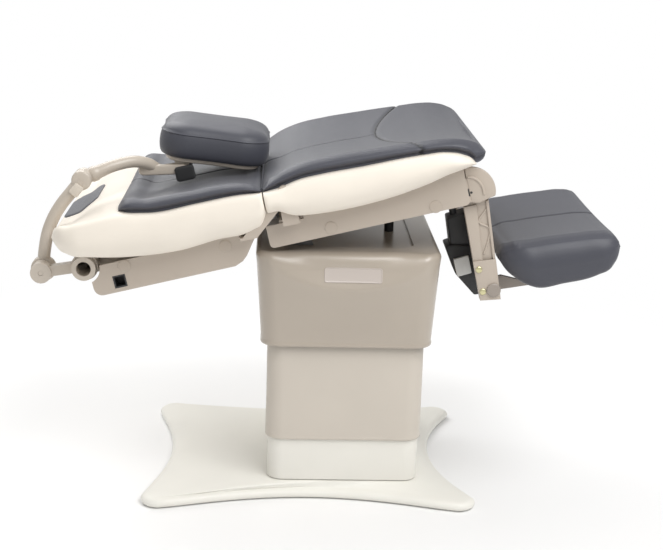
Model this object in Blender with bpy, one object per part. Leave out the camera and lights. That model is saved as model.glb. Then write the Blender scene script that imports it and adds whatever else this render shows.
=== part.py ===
"""Procedure table: lifting column, tilting seat, raising back, hinged leg rest, articulated headrest.

Metres, +Z up.  +X runs to the foot end and +Y to the far side; the origin is on the floor under the base.
The upholstered table is drawn level in its own frame (u along it, y across it, w up from it) and is then
carried by empties that stand on the joint axes, at the tilt of the rest pose.
"""

import math

import bmesh
import bpy
import numpy as np
from mathutils import Vector

# Clearances
CUT_PAST = 0.010        # how far a cutter runs past the face that it opens
SEAT_GAP = 0.0004      # between pieces that rest on each other
RUNNING_GAP = 0.0006   # round a shaft or between telescoping walls

# Base
BASE_LENGTH = 0.822
BASE_DEPTH = 0.680
BASE_CORNER = 0.095
BASE_WAIST_X = 0.055
BASE_WAIST_Y = 0.072
BASE_HEIGHT = 0.042
BASE_SKIN = 0.004
BASE_FOOT = 0.003
BASE_RIM_HEIGHT = 0.025
BASE_SHOULDER_X = 0.060
BASE_SHOULDER_Y = 0.008
BASE_LAP = 0.030
BASE_FRAME_THICK = 0.012
BASE_FRAME_MARGIN = 0.030

# Column covers and lift
COLUMN_X = 0.0835
LOWER_COVER_LENGTH = 0.375
LOWER_COVER_DEPTH = 0.490
LOWER_COVER_TOP = 0.215
COVER_WALL = 0.004
COVER_CORNER = 0.038
MIDDLE_COVER_LOW = 0.150
MIDDLE_COVER_HEIGHT = 0.290
SHROUD_LOW = 0.394
SHROUD_TOP = 0.630
SHROUD_LENGTH_LOW = 0.414
SHROUD_LENGTH_TOP = 0.445
SHROUD_DEPTH_LOW = 0.524
SHROUD_DEPTH_TOP = 0.536
SHROUD_EDGE = 0.034
SHROUD_TOP_SKIN = 0.0055
SHROUD_MOUTH_MARGIN = 0.062
SHROUD_MOUTH_CLEAR = 0.006
LIFT_TUBE_LENGTH = 0.150
LIFT_TUBE_DEPTH = 0.180
LIFT_TUBE_WALL = 0.005
LIFT_OUTER_TOP = 0.322
LIFT_MIDDLE_LOW = 0.156
LIFT_MIDDLE_TOP = 0.458
LIFT_INNER_LOW = 0.2955
CARRIAGE_THICK = 0.012
CARRIAGE_MARGIN = 0.016
MOTOR_SIZE = (0.070, 0.090, 0.100)
CONTROL_SIZE = (0.070, 0.180, 0.085)
BADGE_LENGTH = 0.138
BADGE_HEIGHT = 0.034
BADGE_THICK = 0.003

# Table frame: where its u = 0, w = 0 point lies at rest, and how far the table is tilted
TABLE_X = -0.105
TABLE_Z = 0.700
TABLE_TILT = math.radians(14.0)
TABLE_WIDTH = 0.680

# Seat tray, its tilt shaft and the pin that the tilt rod lifts
TILT_U = 0.060
TILT_W = -0.045
TILT_SHAFT_RADIUS = 0.012
TILT_BRACKET_Y = 0.160
TILT_BRACKET_THICK = 0.012
TILT_BRACKET_FOOT = 0.070
TILT_BRACKET_EYE = 0.022
TILT_PIN_U = 0.300
TILT_PIN_W = -0.038
TILT_PIN_RADIUS = 0.008
TILT_ROD_RADIUS = 0.012
TILT_HOUSING_RADIUS = 0.028
TILT_HOUSING_LENGTH = 0.180
TILT_HEAD = (0.056, 0.030, 0.036)
TILT_SLOT = (0.042, 0.0215)
TRAY_REAR = 0.020
TRAY_LEG_CLEAR = 0.024
TRAY_EAR_PAST = 0.014
TRAY_HALF = 0.262
TRAY_WALL = 0.006
TRAY_LOW = -0.056
SIDE_COVER_THICK = 0.004
SIDE_COVER_REAR = -0.013
SIDE_COVER_FRONT = 0.468
SIDE_COVER_LOW = -0.060
SIDE_COVER_CORNER = 0.010

# Hinge between the seat and the back
BACK_U = 0.050
BACK_W = 0.075
HINGE_PLATE_THICK = 0.006
HINGE_EYE = 0.016
HINGE_PIN_RADIUS = 0.008
SEAT_EAR_Y = 0.304
EAR_LENGTH = 0.040
BACK_EAR_U = -0.055
HINGE_SLOT_MARGIN = 0.0020
HINGE_SLOT_HIGH = 0.058
SHELL_CUT_HIGH = 0.200

# Shells and cushions: side lines as (u, w), set by hand from the near side of the table
SEAT_UNDERSIDE = [(0.0015, 0.033), (0.031, 0.031), (0.047, 0.021), (0.065, 0.013), (0.099, 0.007),
                  (0.144, 0.003), (0.232, 0.002), (0.322, 0.009), (0.383, 0.019), (0.436, 0.031),
                  (0.498, 0.037)]
SEAT_RIM = [(0.0015, 0.084), (0.046, 0.087), (0.079, 0.094), (0.146, 0.096), (0.223, 0.093), (0.377, 0.088),
            (0.435, 0.082), (0.471, 0.068), (0.491, 0.052), (0.498, 0.040)]
SEAT_TOP = [(0.003, 0.092), (0.012, 0.102), (0.035, 0.115), (0.093, 0.130), (0.172, 0.132), (0.262, 0.127),
            (0.375, 0.118), (0.430, 0.113), (0.470, 0.103), (0.500, 0.087), (0.512, 0.074), (0.516, 0.066)]
SEAT_NOSE = [(0.498, 0.0408), (0.508, 0.046), (0.514, 0.054), (0.516, 0.0635)]
BACK_UNDERSIDE = [(-0.503, 0.080), (-0.494, 0.056), (-0.474, 0.037), (-0.421, 0.021), (-0.358, 0.006),
                  (-0.283, -0.005), (-0.207, -0.009), (-0.128, -0.003), (-0.040, 0.000), (-0.016, 0.011),
                  (-0.0015, 0.033)]
BACK_RIM = [(-0.503, 0.0835), (-0.490, 0.101), (-0.450, 0.108), (-0.400, 0.109), (-0.325, 0.107),
            (-0.290, 0.100), (-0.260, 0.094), (-0.157, 0.092), (-0.055, 0.090), (-0.0015, 0.084)]
CUSHION_END = -0.336
BACK_TOP = [(-0.336, 0.120), (-0.328, 0.128), (-0.260, 0.127), (-0.160, 0.124), (-0.090, 0.122),
            (-0.035, 0.112), (-0.012, 0.101), (-0.003, 0.092)]
# Where the sections of the shells and cushions stand, and the ends that draw in: (end, reach, depth)
SEAT_STATIONS = [0.0015, 0.012, 0.035, 0.050, 0.065, 0.093, 0.130, 0.172, 0.262, 0.320, 0.375, 0.410, 0.440,
                 0.465, 0.485, 0.498]
BACK_STATIONS = [-0.503, -0.500, -0.494, -0.485, -0.470, -0.450, -0.421, -0.385, -0.358,
                 CUSHION_END - 0.0010, CUSHION_END - 0.0004,
                 -0.290, -0.225, -0.155, -0.090, -0.060, -0.035, -0.022, -0.012, -0.006, -0.0015]
SEAT_CUSHION_STATIONS = [0.003, 0.006, 0.012, 0.022, 0.035, 0.050, 0.065, 0.093, 0.130, 0.172, 0.215, 0.262,
                         0.320, 0.375, 0.410, 0.440, 0.465, 0.485, 0.498, 0.506, 0.512, 0.5155]
BACK_CUSHION_STATIONS = [CUSHION_END, -0.3335, -0.328, -0.312, -0.290, -0.260, -0.225, -0.190, -0.155,
                         -0.120, -0.090, -0.060, -0.035, -0.022, -0.012, -0.006, -0.003]
SEAT_ENDS = [(0.498, 0.060, 0.045), (0.0015, 0.012, 0.006)]
BACK_ENDS = [(-0.503, 0.078, 0.090), (-0.0015, 0.012, 0.006)]
HEAD_CROWN = 0.010
HEAD_CROWN_REACH = 0.040
CUSHION_BASE_HALF = 0.3015
CUSHION_BULGE = 0.0085
CUSHION_DISH = 0.022
SEAM_WIDTH = 0.007
SEAM_DEPTH = 0.0035
NECK_HALF = 0.115
NECK_REAR = -0.415
NECK_LOW = 0.098
NECK_CROWN = 0.012

# Back frame, its under-cover and the accessory tube across the head end
BACK_RAIL_Y = 0.185
BACK_RAIL_WIDTH = 0.030
BACK_RAIL_HEIGHT = 0.030
BACK_RAIL_FRONT = -0.065
BACK_CROSS_LENGTH = 0.040
BACK_CROSS_REAR_U = -0.330
BACK_COVER_HALF = 0.270
BACK_COVER_WALL = 0.004
BACK_COVER_CORNER = 0.020
BACK_COVER_LINE = [(-0.443, -0.0820), (-0.104, -0.0820), (-0.084, -0.0740), (-0.071, -0.0620),
                   (-0.055, -0.0400), (-0.039, -0.0190)]
CROSS_TUBE_U = -0.454
CROSS_TUBE_W = -0.009
CROSS_TUBE_RADIUS = 0.0285
CROSS_TUBE_BORE = 0.0175
CROSS_TUBE_HALF = 0.272
COVER_SCALLOP = 0.038
SOCKET_U = -0.378
SOCKET_W = -0.057
SOCKET_SIZE = 0.030
SOCKET_BORE = 0.023
SOCKET_DEPTH = 0.034

# Back drive: a rod in the back pulls on a pin that the seat tray holds
BACK_PIN_U = -0.0131
BACK_PIN_W = -0.0151
BACK_DRIVE_W = -0.0255
BACK_DRIVE_RADIUS = 0.0155
BACK_DRIVE_FRONT = -0.090
BACK_ROD_RADIUS = 0.008
BACK_YOKE = (0.032, 0.024, 0.046)
BACK_YOKE_SLOT = (0.020, 0.036)
DRIVE_PIN_RADIUS = 0.006
HOUSING_END = 0.006
LUG_THICK = 0.006
LUG_CLEAR = 0.0020

# Headrest arm: joints as (u, w), and where the pieces stand across the table
KNUCKLE_1 = (-0.559, -0.001)
KNUCKLE_2 = (-0.415, 0.187)
HUB_Y = (-0.252, -0.218)
HUB_RADIUS = 0.0325
HUB_BAR_HALF = 0.012
ARM_RADIUS = 0.0138
LOWER_ARM_Y = -0.2025
LOWER_ARM_EYE = 0.025
KNUCKLE_WIDTH = 0.029
UPPER_ARM_EYE = 0.027
KNUCKLE_PIN_RADIUS = 0.006
LOWER_ARM_BEND = [(-0.545, 0.042), (-0.520, 0.092), (-0.480, 0.138)]
UPPER_ARM_BEND = [(-0.372, -0.160, 0.202), (-0.328, -0.128, 0.205), (-0.286, -0.090, 0.188),
                  (-0.255, -0.070, 0.150)]
PAD_AXIS = (-0.187, 0.142)
PAD_KNUCKLE_Y = (-0.085, -0.035)
PAD_KNUCKLE_RADIUS = 0.019
PAD_AXLE_RADIUS = 0.007
PAD_LUG_THICK = 0.008
LEVER_LENGTH = 0.100
LEVER_THICK = 0.013
LEVER_WIDTH = 0.022
PAD_SLOPE = math.radians(20.0)
PAD_LEFT = -0.285
PAD_RIGHT = -0.030
PAD_LOW = 0.087
PAD_PLATE_THICK = 0.010
PAD_HIGH = 0.172
PAD_CROWN = 0.011
PAD_HALF = 0.126
PAD_CORNER = 0.060

# Leg rest
LEG_U = 0.474
LEG_W = -0.032
LEG_SHAFT_RADIUS = 0.010
LEG_SIDE_Y = 0.222
LEG_SIDE_THICK = 0.020
LEG_WEB = 0.007
LEG_HOOD_RADIUS = 0.052
LEG_REAR = LEG_U - 0.021
LEG_LOW = -0.312
LEG_FRONT_TOP = LEG_U + 0.046
LEG_FRONT_LOW = LEG_U + 0.019
LEG_RIB = 0.005
LEG_POCKETS = 4
LEG_POCKET_HIGH = -0.100
LEG_PANEL_THICK = 0.004
LEG_PANEL_U = LEG_U - 0.004
LEG_BRACKET_HIGH = -0.236
LEG_BRACKET_THICK = 0.005
LEG_PIN_U = LEG_U - 0.035
LEG_PIN_W = -0.067
LEG_DRIVE_Y = -0.080
LEG_DRIVE_U = LEG_U - 0.037
LEG_DRIVE_RADIUS = 0.021
LEG_DRIVE_HIGH = -0.128
LEG_DRIVE_LOW = -0.318
LEG_DRIVE_BLOCK = (-0.205, -0.165)
LEG_ROD_RADIUS = 0.009
LEG_YOKE = (0.052, 0.024, 0.028)
LEG_YOKE_SLOT = (0.034, 0.017)
LEG_YOKE_SHIFT = -0.004

# Foot pad
FOOT_U = LEG_U + 0.010
FOOT_W = -0.284
FOOT_SHAFT_RADIUS = 0.009
FOOT_ARM_Y = 0.190
FOOT_ARM_THICK = 0.012
FOOT_ARM_EYE = 0.016
FOOT_ARM_REACH = FOOT_U + 0.156
FOOT_PLATE_THICK = 0.006
FOOT_HALF = 0.289
FOOT_CORNER = 0.075
FOOT_TOE_REACH = 0.022
FOOT_TOE_DRAW = 0.014
FOOT_TOP = [(0.028, -0.208), (0.036, -0.190), (0.061, -0.182), (0.116, -0.190), (0.216, -0.199),
            (0.286, -0.205), (0.306, -0.213), (0.314, -0.228)]
FOOT_UNDERSIDE = [(0.028, -0.216), (0.038, -0.236), (0.061, -0.262), (0.101, -0.286), (0.166, -0.291),
                  (0.249, -0.289), (0.287, -0.277), (0.306, -0.256), (0.314, -0.240)]
FOOT_PLATE_SPAN = (FOOT_U + 0.106, FOOT_U + 0.251)
FOOT_PLATE_HALF = 0.230
FOOT_STATIONS = [0.028, 0.032, 0.038, 0.048, 0.061, 0.079, 0.101, 0.131,
                 0.166, 0.216, 0.249, 0.271, 0.287, 0.299, 0.307, 0.314]

for old in list(bpy.data.objects):
    bpy.data.objects.remove(old, do_unlink=True)


# Modelling helpers
def curve_at(points, u):
    """Height at u of a smooth line through hand-set points."""
    us = np.array([p[0] for p in points])
    ws = np.array([p[1] for p in points])
    slopes = np.gradient(ws, us)
    i = int(np.clip(np.searchsorted(us, u) - 1, 0, len(us) - 2))
    span = us[i + 1] - us[i]
    t = float(np.clip((u - us[i]) / span, 0.0, 1.0))
    start = (2 * t**3 - 3 * t**2 + 1) * ws[i] + (t**3 - 2 * t**2 + t) * span * slopes[i]
    return float(start + (3 * t**2 - 2 * t**3) * ws[i + 1] + (t**3 - t**2) * span * slopes[i + 1])


def solid(points, faces):
    """Closed mesh with its faces pointing out."""
    bm = bmesh.new()
    verts = [bm.verts.new(p) for p in points]
    for face in faces:
        bm.faces.new([verts[i] for i in face])
    bmesh.ops.recalc_face_normals(bm, faces=bm.faces)
    mesh = bpy.data.meshes.new("solid")
    bm.to_mesh(mesh)
    bm.free()
    return mesh


def loft(rings, capped=True):
    """Skin over rings of equal count; without caps the last ring joins the first."""
    count = len(rings[0])
    points = [p for ring in rings for p in ring]
    faces = []
    spans = len(rings) - 1 if capped else len(rings)
    for r in range(spans):
        a = r * count
        b = ((r + 1) % len(rings)) * count
        for i in range(count):
            j = (i + 1) % count
            faces.append((a + i, a + j, b + j, b + i))
    if capped:
        faces.append(tuple(range(count)))
        faces.append(tuple(range(len(points) - count, len(points))))
    return solid(points, faces)


def across(outline, y0, y1):
    """Plate of a (u, w) outline between two places across the table."""
    return loft([[(u, y0, w) for u, w in outline], [(u, y1, w) for u, w in outline]])


def block(low, high):
    """Square block between two corners."""
    x0, y0, z0 = low
    x1, y1, z1 = high
    ring = [(x0, y0), (x1, y0), (x1, y1), (x0, y1)]
    return loft([[(x, y, z0) for x, y in ring], [(x, y, z1) for x, y in ring]])


def turned(stations, centre, axis, sides=24):
    """Round piece along X, Y or Z from (distance, radius) stations about a centre line."""
    rings = []
    for along, radius in stations:
        ring = []
        for i in range(sides):
            a = 2 * math.pi * i / sides
            c, s = radius * math.cos(a), radius * math.sin(a)
            if axis == "X":
                ring.append((along, centre[0] + c, centre[1] + s))
            elif axis == "Y":
                ring.append((centre[0] + c, along, centre[1] + s))
            else:
                ring.append((centre[0] + c, centre[1] + s, along))
        rings.append(ring)
    return loft(rings)


def rod(centre, axis, start, end, radius, sides=24):
    """Plain round bar."""
    return turned([(start, radius), (end, radius)], centre, axis, sides)


def pipe(route, radius, sides=16):
    """Round bar bent along a smooth route."""
    knots = [Vector(p) for p in route]
    ends = [2 * knots[0] - knots[1]] + knots + [2 * knots[-1] - knots[-2]]
    path = []
    for a, b, c, d in zip(ends, ends[1:], ends[2:], ends[3:]):
        for k in range(4):
            t = k / 4
            bend = (2 * a - 5 * b + 4 * c - d) * t**2 + (3 * b - a - 3 * c + d) * t**3
            path.append(0.5 * (2 * b + (c - a) * t + bend))
    path.append(knots[-1])
    rings = []
    side = None
    for i, p in enumerate(path):
        ahead = (path[min(i + 1, len(path) - 1)] - path[max(i - 1, 0)]).normalized()
        side = ahead.cross(Vector((0, 1, 0)) if side is None else side.cross(ahead)).normalized()
        other = ahead.cross(side)
        turn = [2 * math.pi * k / sides for k in range(sides)]
        rings.append([p + radius * (math.cos(a) * side + math.sin(a) * other) for a in turn])
    return loft(rings)


def rounded(half_x, half_y, corner, waist_x=0.0, waist_y=0.0, arc=6, side=5):
    """Rounded rectangle about the origin, with sides that may draw in towards their middles."""
    points = []
    for quarter in range(4):
        a0 = quarter * math.pi / 2
        sx, sy = [(1, 1), (-1, 1), (-1, -1), (1, -1)][quarter]
        cx, cy = sx * (half_x - corner), sy * (half_y - corner)
        for i in range(arc + 1):
            a = a0 + math.pi / 2 * i / arc
            points.append((cx + corner * math.cos(a), cy + corner * math.sin(a)))
        level = quarter % 2 == 0
        reach = (half_x if level else half_y) - corner
        for i in range(1, side + 1):
            t = i / (side + 1)
            draw = math.sin(math.pi * t) ** 2
            run = reach * (1 - 2 * t)
            if level:
                points.append((sx * run, sy * (half_y - waist_y * draw)))
            else:
                points.append((sx * (half_x - waist_x * draw), sy * run))
    return points


def arc_points(centre, radius, start, end, steps):
    """Points on a (u, w) circle between two angles in degrees."""
    angles = [math.radians(start + (end - start) * i / steps) for i in range(steps + 1)]
    return [(centre[0] + radius * math.cos(a), centre[1] + radius * math.sin(a)) for a in angles]


AXES = {}


def axis(name, at, parent=None, turn=0.0):
    """Empty on a joint axis; at is in the level drawing that its pieces use."""
    empty = bpy.data.objects.new(name, None)
    bpy.context.collection.objects.link(empty)
    if parent:
        empty.parent = bpy.data.objects[parent]
        empty.location = Vector(at) - AXES[parent]
    AXES[name] = Vector(at)
    empty.rotation_euler = (0.0, turn, 0.0)
    return empty


def finish(name, colour, roughness, metallic=0.0):
    """Principled material from a linear colour."""
    material = bpy.data.materials.new(name)
    material.use_nodes = True
    shader = material.node_tree.nodes["Principled BSDF"]
    shader.inputs["Base Color"].default_value = (*colour, 1.0)
    shader.inputs["Roughness"].default_value = roughness
    shader.inputs["Metallic"].default_value = metallic
    return material


CREAM = finish("cream_vinyl", (0.86, 0.79, 0.68), 0.5)
GREY = finish("grey_vinyl", (0.19, 0.19, 0.20), 0.5)
TAUPE = finish("taupe_plastic", (0.46, 0.39, 0.32), 0.45)
STONE = finish("stone_plastic", (0.58, 0.52, 0.45), 0.45)
SHELL_WHITE = finish("white_plastic", (0.82, 0.79, 0.72), 0.45)
ARM_PAINT = finish("arm_paint", (0.52, 0.46, 0.38), 0.4)
STEEL = finish("steel", (0.55, 0.55, 0.55), 0.35, 1.0)
FRAME_PAINT = finish("frame_paint", (0.06, 0.06, 0.065), 0.5)
BLACK = finish("black_plastic", (0.02, 0.02, 0.022), 0.5)


def piece(name, mesh, carrier, material):
    """Named piece in its carrier's level drawing."""
    obj = bpy.data.objects.new(name, mesh)
    bpy.context.collection.objects.link(obj)
    obj.parent = bpy.data.objects[carrier]
    obj.location = -AXES[carrier]
    mesh.materials.append(material)
    mesh.shade_smooth()
    mesh.set_sharp_from_angle(angle=math.radians(35.0))
    return obj


def shape(obj, mesh, operation):
    """Boolean of a piece with a hidden solid in the same drawing."""
    tool = bpy.data.objects.new(obj.name + "_tool", mesh)
    bpy.context.collection.objects.link(tool)
    tool.parent = obj.parent
    tool.location = obj.location
    tool.hide_render = True
    tool.display_type = "WIRE"
    change = obj.modifiers.new(operation.lower(), "BOOLEAN")
    change.operation = operation
    change.object = tool


def cut(obj, *meshes):
    for mesh in meshes:
        shape(obj, mesh, "DIFFERENCE")


def fuse(obj, *meshes):
    for mesh in meshes:
        shape(obj, mesh, "UNION")


# Joint axes
TILT_X = TABLE_X + TILT_U * math.cos(TABLE_TILT) - TILT_W * math.sin(TABLE_TILT)
TILT_Z = TABLE_Z + TILT_U * math.sin(TABLE_TILT) + TILT_W * math.cos(TABLE_TILT)
axis("floor", (0, 0, 0))
axis("lift_middle_axis", (COLUMN_X, 0, 0), "floor")
axis("middle_cover_axis", (COLUMN_X, 0, 0), "floor")
axis("carriage_axis", (COLUMN_X, 0, 0), "floor")
seat_axis = axis("seat_axis", (TILT_U, 0, TILT_W))
seat_axis.location = (TILT_X, 0, TILT_Z)
seat_axis.rotation_euler = (0, -TABLE_TILT, 0)
axis("back_axis", (BACK_U, 0, BACK_W), "seat_axis")
axis("back_rod_axis", (BACK_PIN_U, 0, BACK_DRIVE_W), "back_axis")
axis("hub_axis", (CROSS_TUBE_U, 0, CROSS_TUBE_W), "back_axis")
axis("knuckle_1_axis", (KNUCKLE_1[0], 0, KNUCKLE_1[1]), "hub_axis")
axis("knuckle_2_axis", (KNUCKLE_2[0], 0, KNUCKLE_2[1]), "knuckle_1_axis")
axis("pad_axis", (PAD_AXIS[0], 0, PAD_AXIS[1]), "knuckle_2_axis")
axis("lever_axis", (PAD_AXIS[0], 0, PAD_AXIS[1]), "knuckle_2_axis")
axis("leg_axis", (LEG_U, 0, LEG_W), "seat_axis")
axis("leg_rod_axis", (LEG_DRIVE_U, LEG_DRIVE_Y, LEG_PIN_W), "leg_axis")
axis("foot_axis", (FOOT_U, 0, FOOT_W), "leg_axis")
pin_u = TILT_PIN_U - TILT_U
pin_w = TILT_PIN_W - TILT_W
TILT_PIN_X = TILT_X + pin_u * math.cos(TABLE_TILT) - pin_w * math.sin(TABLE_TILT)
TILT_PIN_Z = TILT_Z + pin_u * math.sin(TABLE_TILT) + pin_w * math.cos(TABLE_TILT)
axis("tilt_rod_axis", (TILT_PIN_X, 0, TILT_PIN_Z), "carriage_axis")


# Base: steel plate on the floor under a moulded four-lobed cover
def base_ring(inset, height, waist=1.0):
    outline = rounded(BASE_LENGTH / 2 - inset, BASE_DEPTH / 2 - inset, BASE_CORNER, BASE_WAIST_X * waist,
                      BASE_WAIST_Y * waist)
    return [(x, y, height) for x, y in outline]


def column_ring(length, depth, corner, height):
    outline = rounded(length / 2, depth / 2, corner)
    return [(x + COLUMN_X, y, height) for x, y in outline]


frame_ring = base_ring(BASE_FRAME_MARGIN, 0.0)
piece("base_frame", loft([frame_ring, [(x, y, BASE_FRAME_THICK) for x, y, z in frame_ring]]), "floor",
      FRAME_PAINT)
base_mouth = (LOWER_COVER_LENGTH - 2 * BASE_LAP, LOWER_COVER_DEPTH - 2 * BASE_LAP)
base_side = BASE_FRAME_THICK + SEAT_GAP


def shoulder_ring(inset, height):
    """Outline of the raised middle of the base cover, round the foot of the column."""
    return column_ring(LOWER_COVER_LENGTH + BASE_SHOULDER_X - 2 * inset,
                       LOWER_COVER_DEPTH + BASE_SHOULDER_Y - 2 * inset,
                       COVER_CORNER, height)


slope_height = (BASE_RIM_HEIGHT + BASE_HEIGHT) / 2
base_cover_rings = [
    base_ring(0.007, BASE_FOOT),
    base_ring(0.000, 0.40 * BASE_RIM_HEIGHT),
    base_ring(0.002, 0.72 * BASE_RIM_HEIGHT),
    base_ring(0.014, BASE_RIM_HEIGHT),
    base_ring(0.045, slope_height, 0.58),
    shoulder_ring(0.0, BASE_HEIGHT - 0.001),
    column_ring(LOWER_COVER_LENGTH - BASE_LAP, LOWER_COVER_DEPTH - BASE_LAP, COVER_CORNER, BASE_HEIGHT),
    column_ring(*base_mouth, COVER_CORNER, BASE_HEIGHT),
    column_ring(*base_mouth, COVER_CORNER, BASE_HEIGHT - BASE_SKIN),
    shoulder_ring(BASE_SKIN, BASE_HEIGHT - BASE_SKIN - 0.001),
    base_ring(0.045 + BASE_SKIN, slope_height - BASE_SKIN, 0.58),
    base_ring(0.014 + BASE_SKIN, BASE_RIM_HEIGHT - BASE_SKIN),
    base_ring(BASE_FRAME_MARGIN - 0.008, base_side),
    base_ring(0.012, BASE_FOOT),
]
piece("base_cover", loft(base_cover_rings, capped=False), "floor", SHELL_WHITE)
# The cover is held by the frame's rim: a ledge inside it stands on the plate
base_ledge = [base_ring(0.016, base_side), base_ring(0.016, base_side + 0.006),
              base_ring(0.040, base_side + 0.006), base_ring(0.040, base_side)]
fuse(bpy.data.objects["base_cover"], loft(base_ledge, capped=False))


# Lift: three telescoping tubes, the gear motor and the control box inside the covers
def tube_rings(length, depth, corner, wall, low, high, arc=2):
    rings = []
    for inset, height in ((0.0, low), (0.0, high), (wall, high), (wall, low)):
        outline = rounded(length / 2 - inset, depth / 2 - inset, corner - inset, arc=arc, side=0)
        rings.append([(x + COLUMN_X, y, height) for x, y in outline])
    return rings


CARRIAGE_HIGH = SHROUD_TOP - SHROUD_TOP_SKIN - SEAT_GAP
CARRIAGE_LOW = CARRIAGE_HIGH - CARRIAGE_THICK
stage = 2 * (LIFT_TUBE_WALL + RUNNING_GAP)
lift_tubes = [
    ("lift_outer_tube", "floor", BASE_FRAME_THICK + SEAT_GAP, LIFT_OUTER_TOP),
    ("lift_middle_tube", "lift_middle_axis", LIFT_MIDDLE_LOW, LIFT_MIDDLE_TOP),
    ("lift_inner_tube", "carriage_axis", LIFT_INNER_LOW, CARRIAGE_LOW - SEAT_GAP),
]
for number, (name, carrier, low, high) in enumerate(lift_tubes):
    rings = tube_rings(LIFT_TUBE_LENGTH - number * stage, LIFT_TUBE_DEPTH - number * stage, 0.012,
                       LIFT_TUBE_WALL, low, high)
    piece(name, loft(rings, capped=False), carrier, STEEL)

floor_level = BASE_FRAME_THICK + SEAT_GAP
motor_x = COLUMN_X + LIFT_TUBE_LENGTH / 2 + SEAT_GAP
piece("lift_motor", block((motor_x, -MOTOR_SIZE[1] / 2, floor_level),
                          (motor_x + MOTOR_SIZE[0], MOTOR_SIZE[1] / 2,
                           floor_level + MOTOR_SIZE[2])), "floor", BLACK)
control_x = COLUMN_X - LIFT_TUBE_LENGTH / 2 - SEAT_GAP
piece("control_box", block((control_x - CONTROL_SIZE[0], -CONTROL_SIZE[1] / 2, floor_level),
                           (control_x, CONTROL_SIZE[1] / 2, floor_level + CONTROL_SIZE[2])), "floor", BLACK)

# Column covers, each sliding over the one below
lower = tube_rings(LOWER_COVER_LENGTH, LOWER_COVER_DEPTH, COVER_CORNER, COVER_WALL, BASE_HEIGHT + SEAT_GAP,
                   LOWER_COVER_TOP, 5)
piece("lower_cover", loft(lower, capped=False), "floor", SHELL_WHITE)
cover_step = 2 * (COVER_WALL + RUNNING_GAP)
middle = tube_rings(LOWER_COVER_LENGTH + cover_step, LOWER_COVER_DEPTH + cover_step,
                    COVER_CORNER + cover_step / 2, COVER_WALL,
                    MIDDLE_COVER_LOW, MIDDLE_COVER_LOW + MIDDLE_COVER_HEIGHT, 5)
piece("middle_cover", loft(middle, capped=False), "middle_cover_axis", STONE)


# Carriage: the upper shroud on its plate, with the tilt brackets and the tilt drive
def shroud_ring(height, inset=0.0):
    t = (height - SHROUD_LOW) / (SHROUD_TOP - SHROUD_LOW)
    length = SHROUD_LENGTH_LOW + (SHROUD_LENGTH_TOP - SHROUD_LENGTH_LOW) * t
    depth = SHROUD_DEPTH_LOW + (SHROUD_DEPTH_TOP - SHROUD_DEPTH_LOW) * t
    return column_ring(length - 2 * inset, depth - 2 * inset, COVER_CORNER + 0.006, height)


def shroud_shoulder(skin, top):
    rings = []
    edge = SHROUD_EDGE - skin
    for i in range(6):
        a = math.pi / 2 * i / 5
        ring = shroud_ring(top - edge, skin + edge * (1 - math.cos(a)))
        rings.append([(x, y, top - edge + edge * math.sin(a)) for x, y, z in ring])
    return rings


shroud_inner_top = SHROUD_TOP - SHROUD_TOP_SKIN
mouth_half = COLUMN_X - TILT_X + TILT_BRACKET_FOOT / 2 + SHROUD_MOUTH_CLEAR
mouth_out = column_ring(2 * mouth_half, SHROUD_DEPTH_TOP - 2 * SHROUD_MOUTH_MARGIN, COVER_CORNER,
                        SHROUD_TOP)
shroud_rings = [shroud_ring(SHROUD_LOW)]
shroud_rings += shroud_shoulder(0.0, SHROUD_TOP)
shroud_rings += [mouth_out, [(x, y, shroud_inner_top) for x, y, z in mouth_out]]
shroud_rings += shroud_shoulder(COVER_WALL, shroud_inner_top)[::-1]
shroud_rings += [shroud_ring(SHROUD_LOW, COVER_WALL)]
piece("upper_shroud", loft(shroud_rings, capped=False), "carriage_axis", TAUPE)

plate_ring = column_ring(LOWER_COVER_LENGTH - 2 * CARRIAGE_MARGIN, LOWER_COVER_DEPTH - 2 * CARRIAGE_MARGIN,
                         COVER_CORNER - 0.010,
                         CARRIAGE_LOW)
carriage = piece("carriage_plate", loft([plate_ring, [(x, y, CARRIAGE_HIGH) for x, y, z in plate_ring]]),
                 "carriage_axis", STEEL)
cut(carriage,
    rod((TILT_PIN_X, 0), "Z", CARRIAGE_LOW - CUT_PAST, CARRIAGE_HIGH + CUT_PAST,
        TILT_ROD_RADIUS + RUNNING_GAP))

badge_y = -(SHROUD_DEPTH_LOW / 2 + (SHROUD_DEPTH_TOP - SHROUD_DEPTH_LOW) / 2
            * (SHROUD_TOP - SHROUD_EDGE - SHROUD_LOW) / (SHROUD_TOP - SHROUD_LOW)) - SEAT_GAP
badge_x = COLUMN_X + 0.010
badge_low = SHROUD_TOP - SHROUD_EDGE - BADGE_HEIGHT
badge_outline = [(x + badge_x, z + badge_low + BADGE_HEIGHT / 2)
                 for x, z in rounded(BADGE_LENGTH / 2, BADGE_HEIGHT / 2, 0.006, arc=3, side=1)]
piece("badge_plate", across(badge_outline, badge_y - BADGE_THICK, badge_y), "carriage_axis", BLACK)

for side_name, sign in (("near", -1), ("far", 1)):
    foot = TILT_BRACKET_FOOT / 2
    outline = [(TILT_X - foot, CARRIAGE_HIGH + SEAT_GAP), (TILT_X + foot, CARRIAGE_HIGH + SEAT_GAP)]
    outline += arc_points((TILT_X, TILT_Z), TILT_BRACKET_EYE, -10, 190, 10)
    y0 = sign * TILT_BRACKET_Y - TILT_BRACKET_THICK / 2
    bracket = piece("tilt_bracket_" + side_name, across(outline, y0, y0 + TILT_BRACKET_THICK),
                    "carriage_axis", FRAME_PAINT)
    cut(bracket,
        rod((TILT_X, TILT_Z), "Y", y0 - CUT_PAST, y0 + TILT_BRACKET_THICK + CUT_PAST,
            TILT_SHAFT_RADIUS + RUNNING_GAP))

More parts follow.
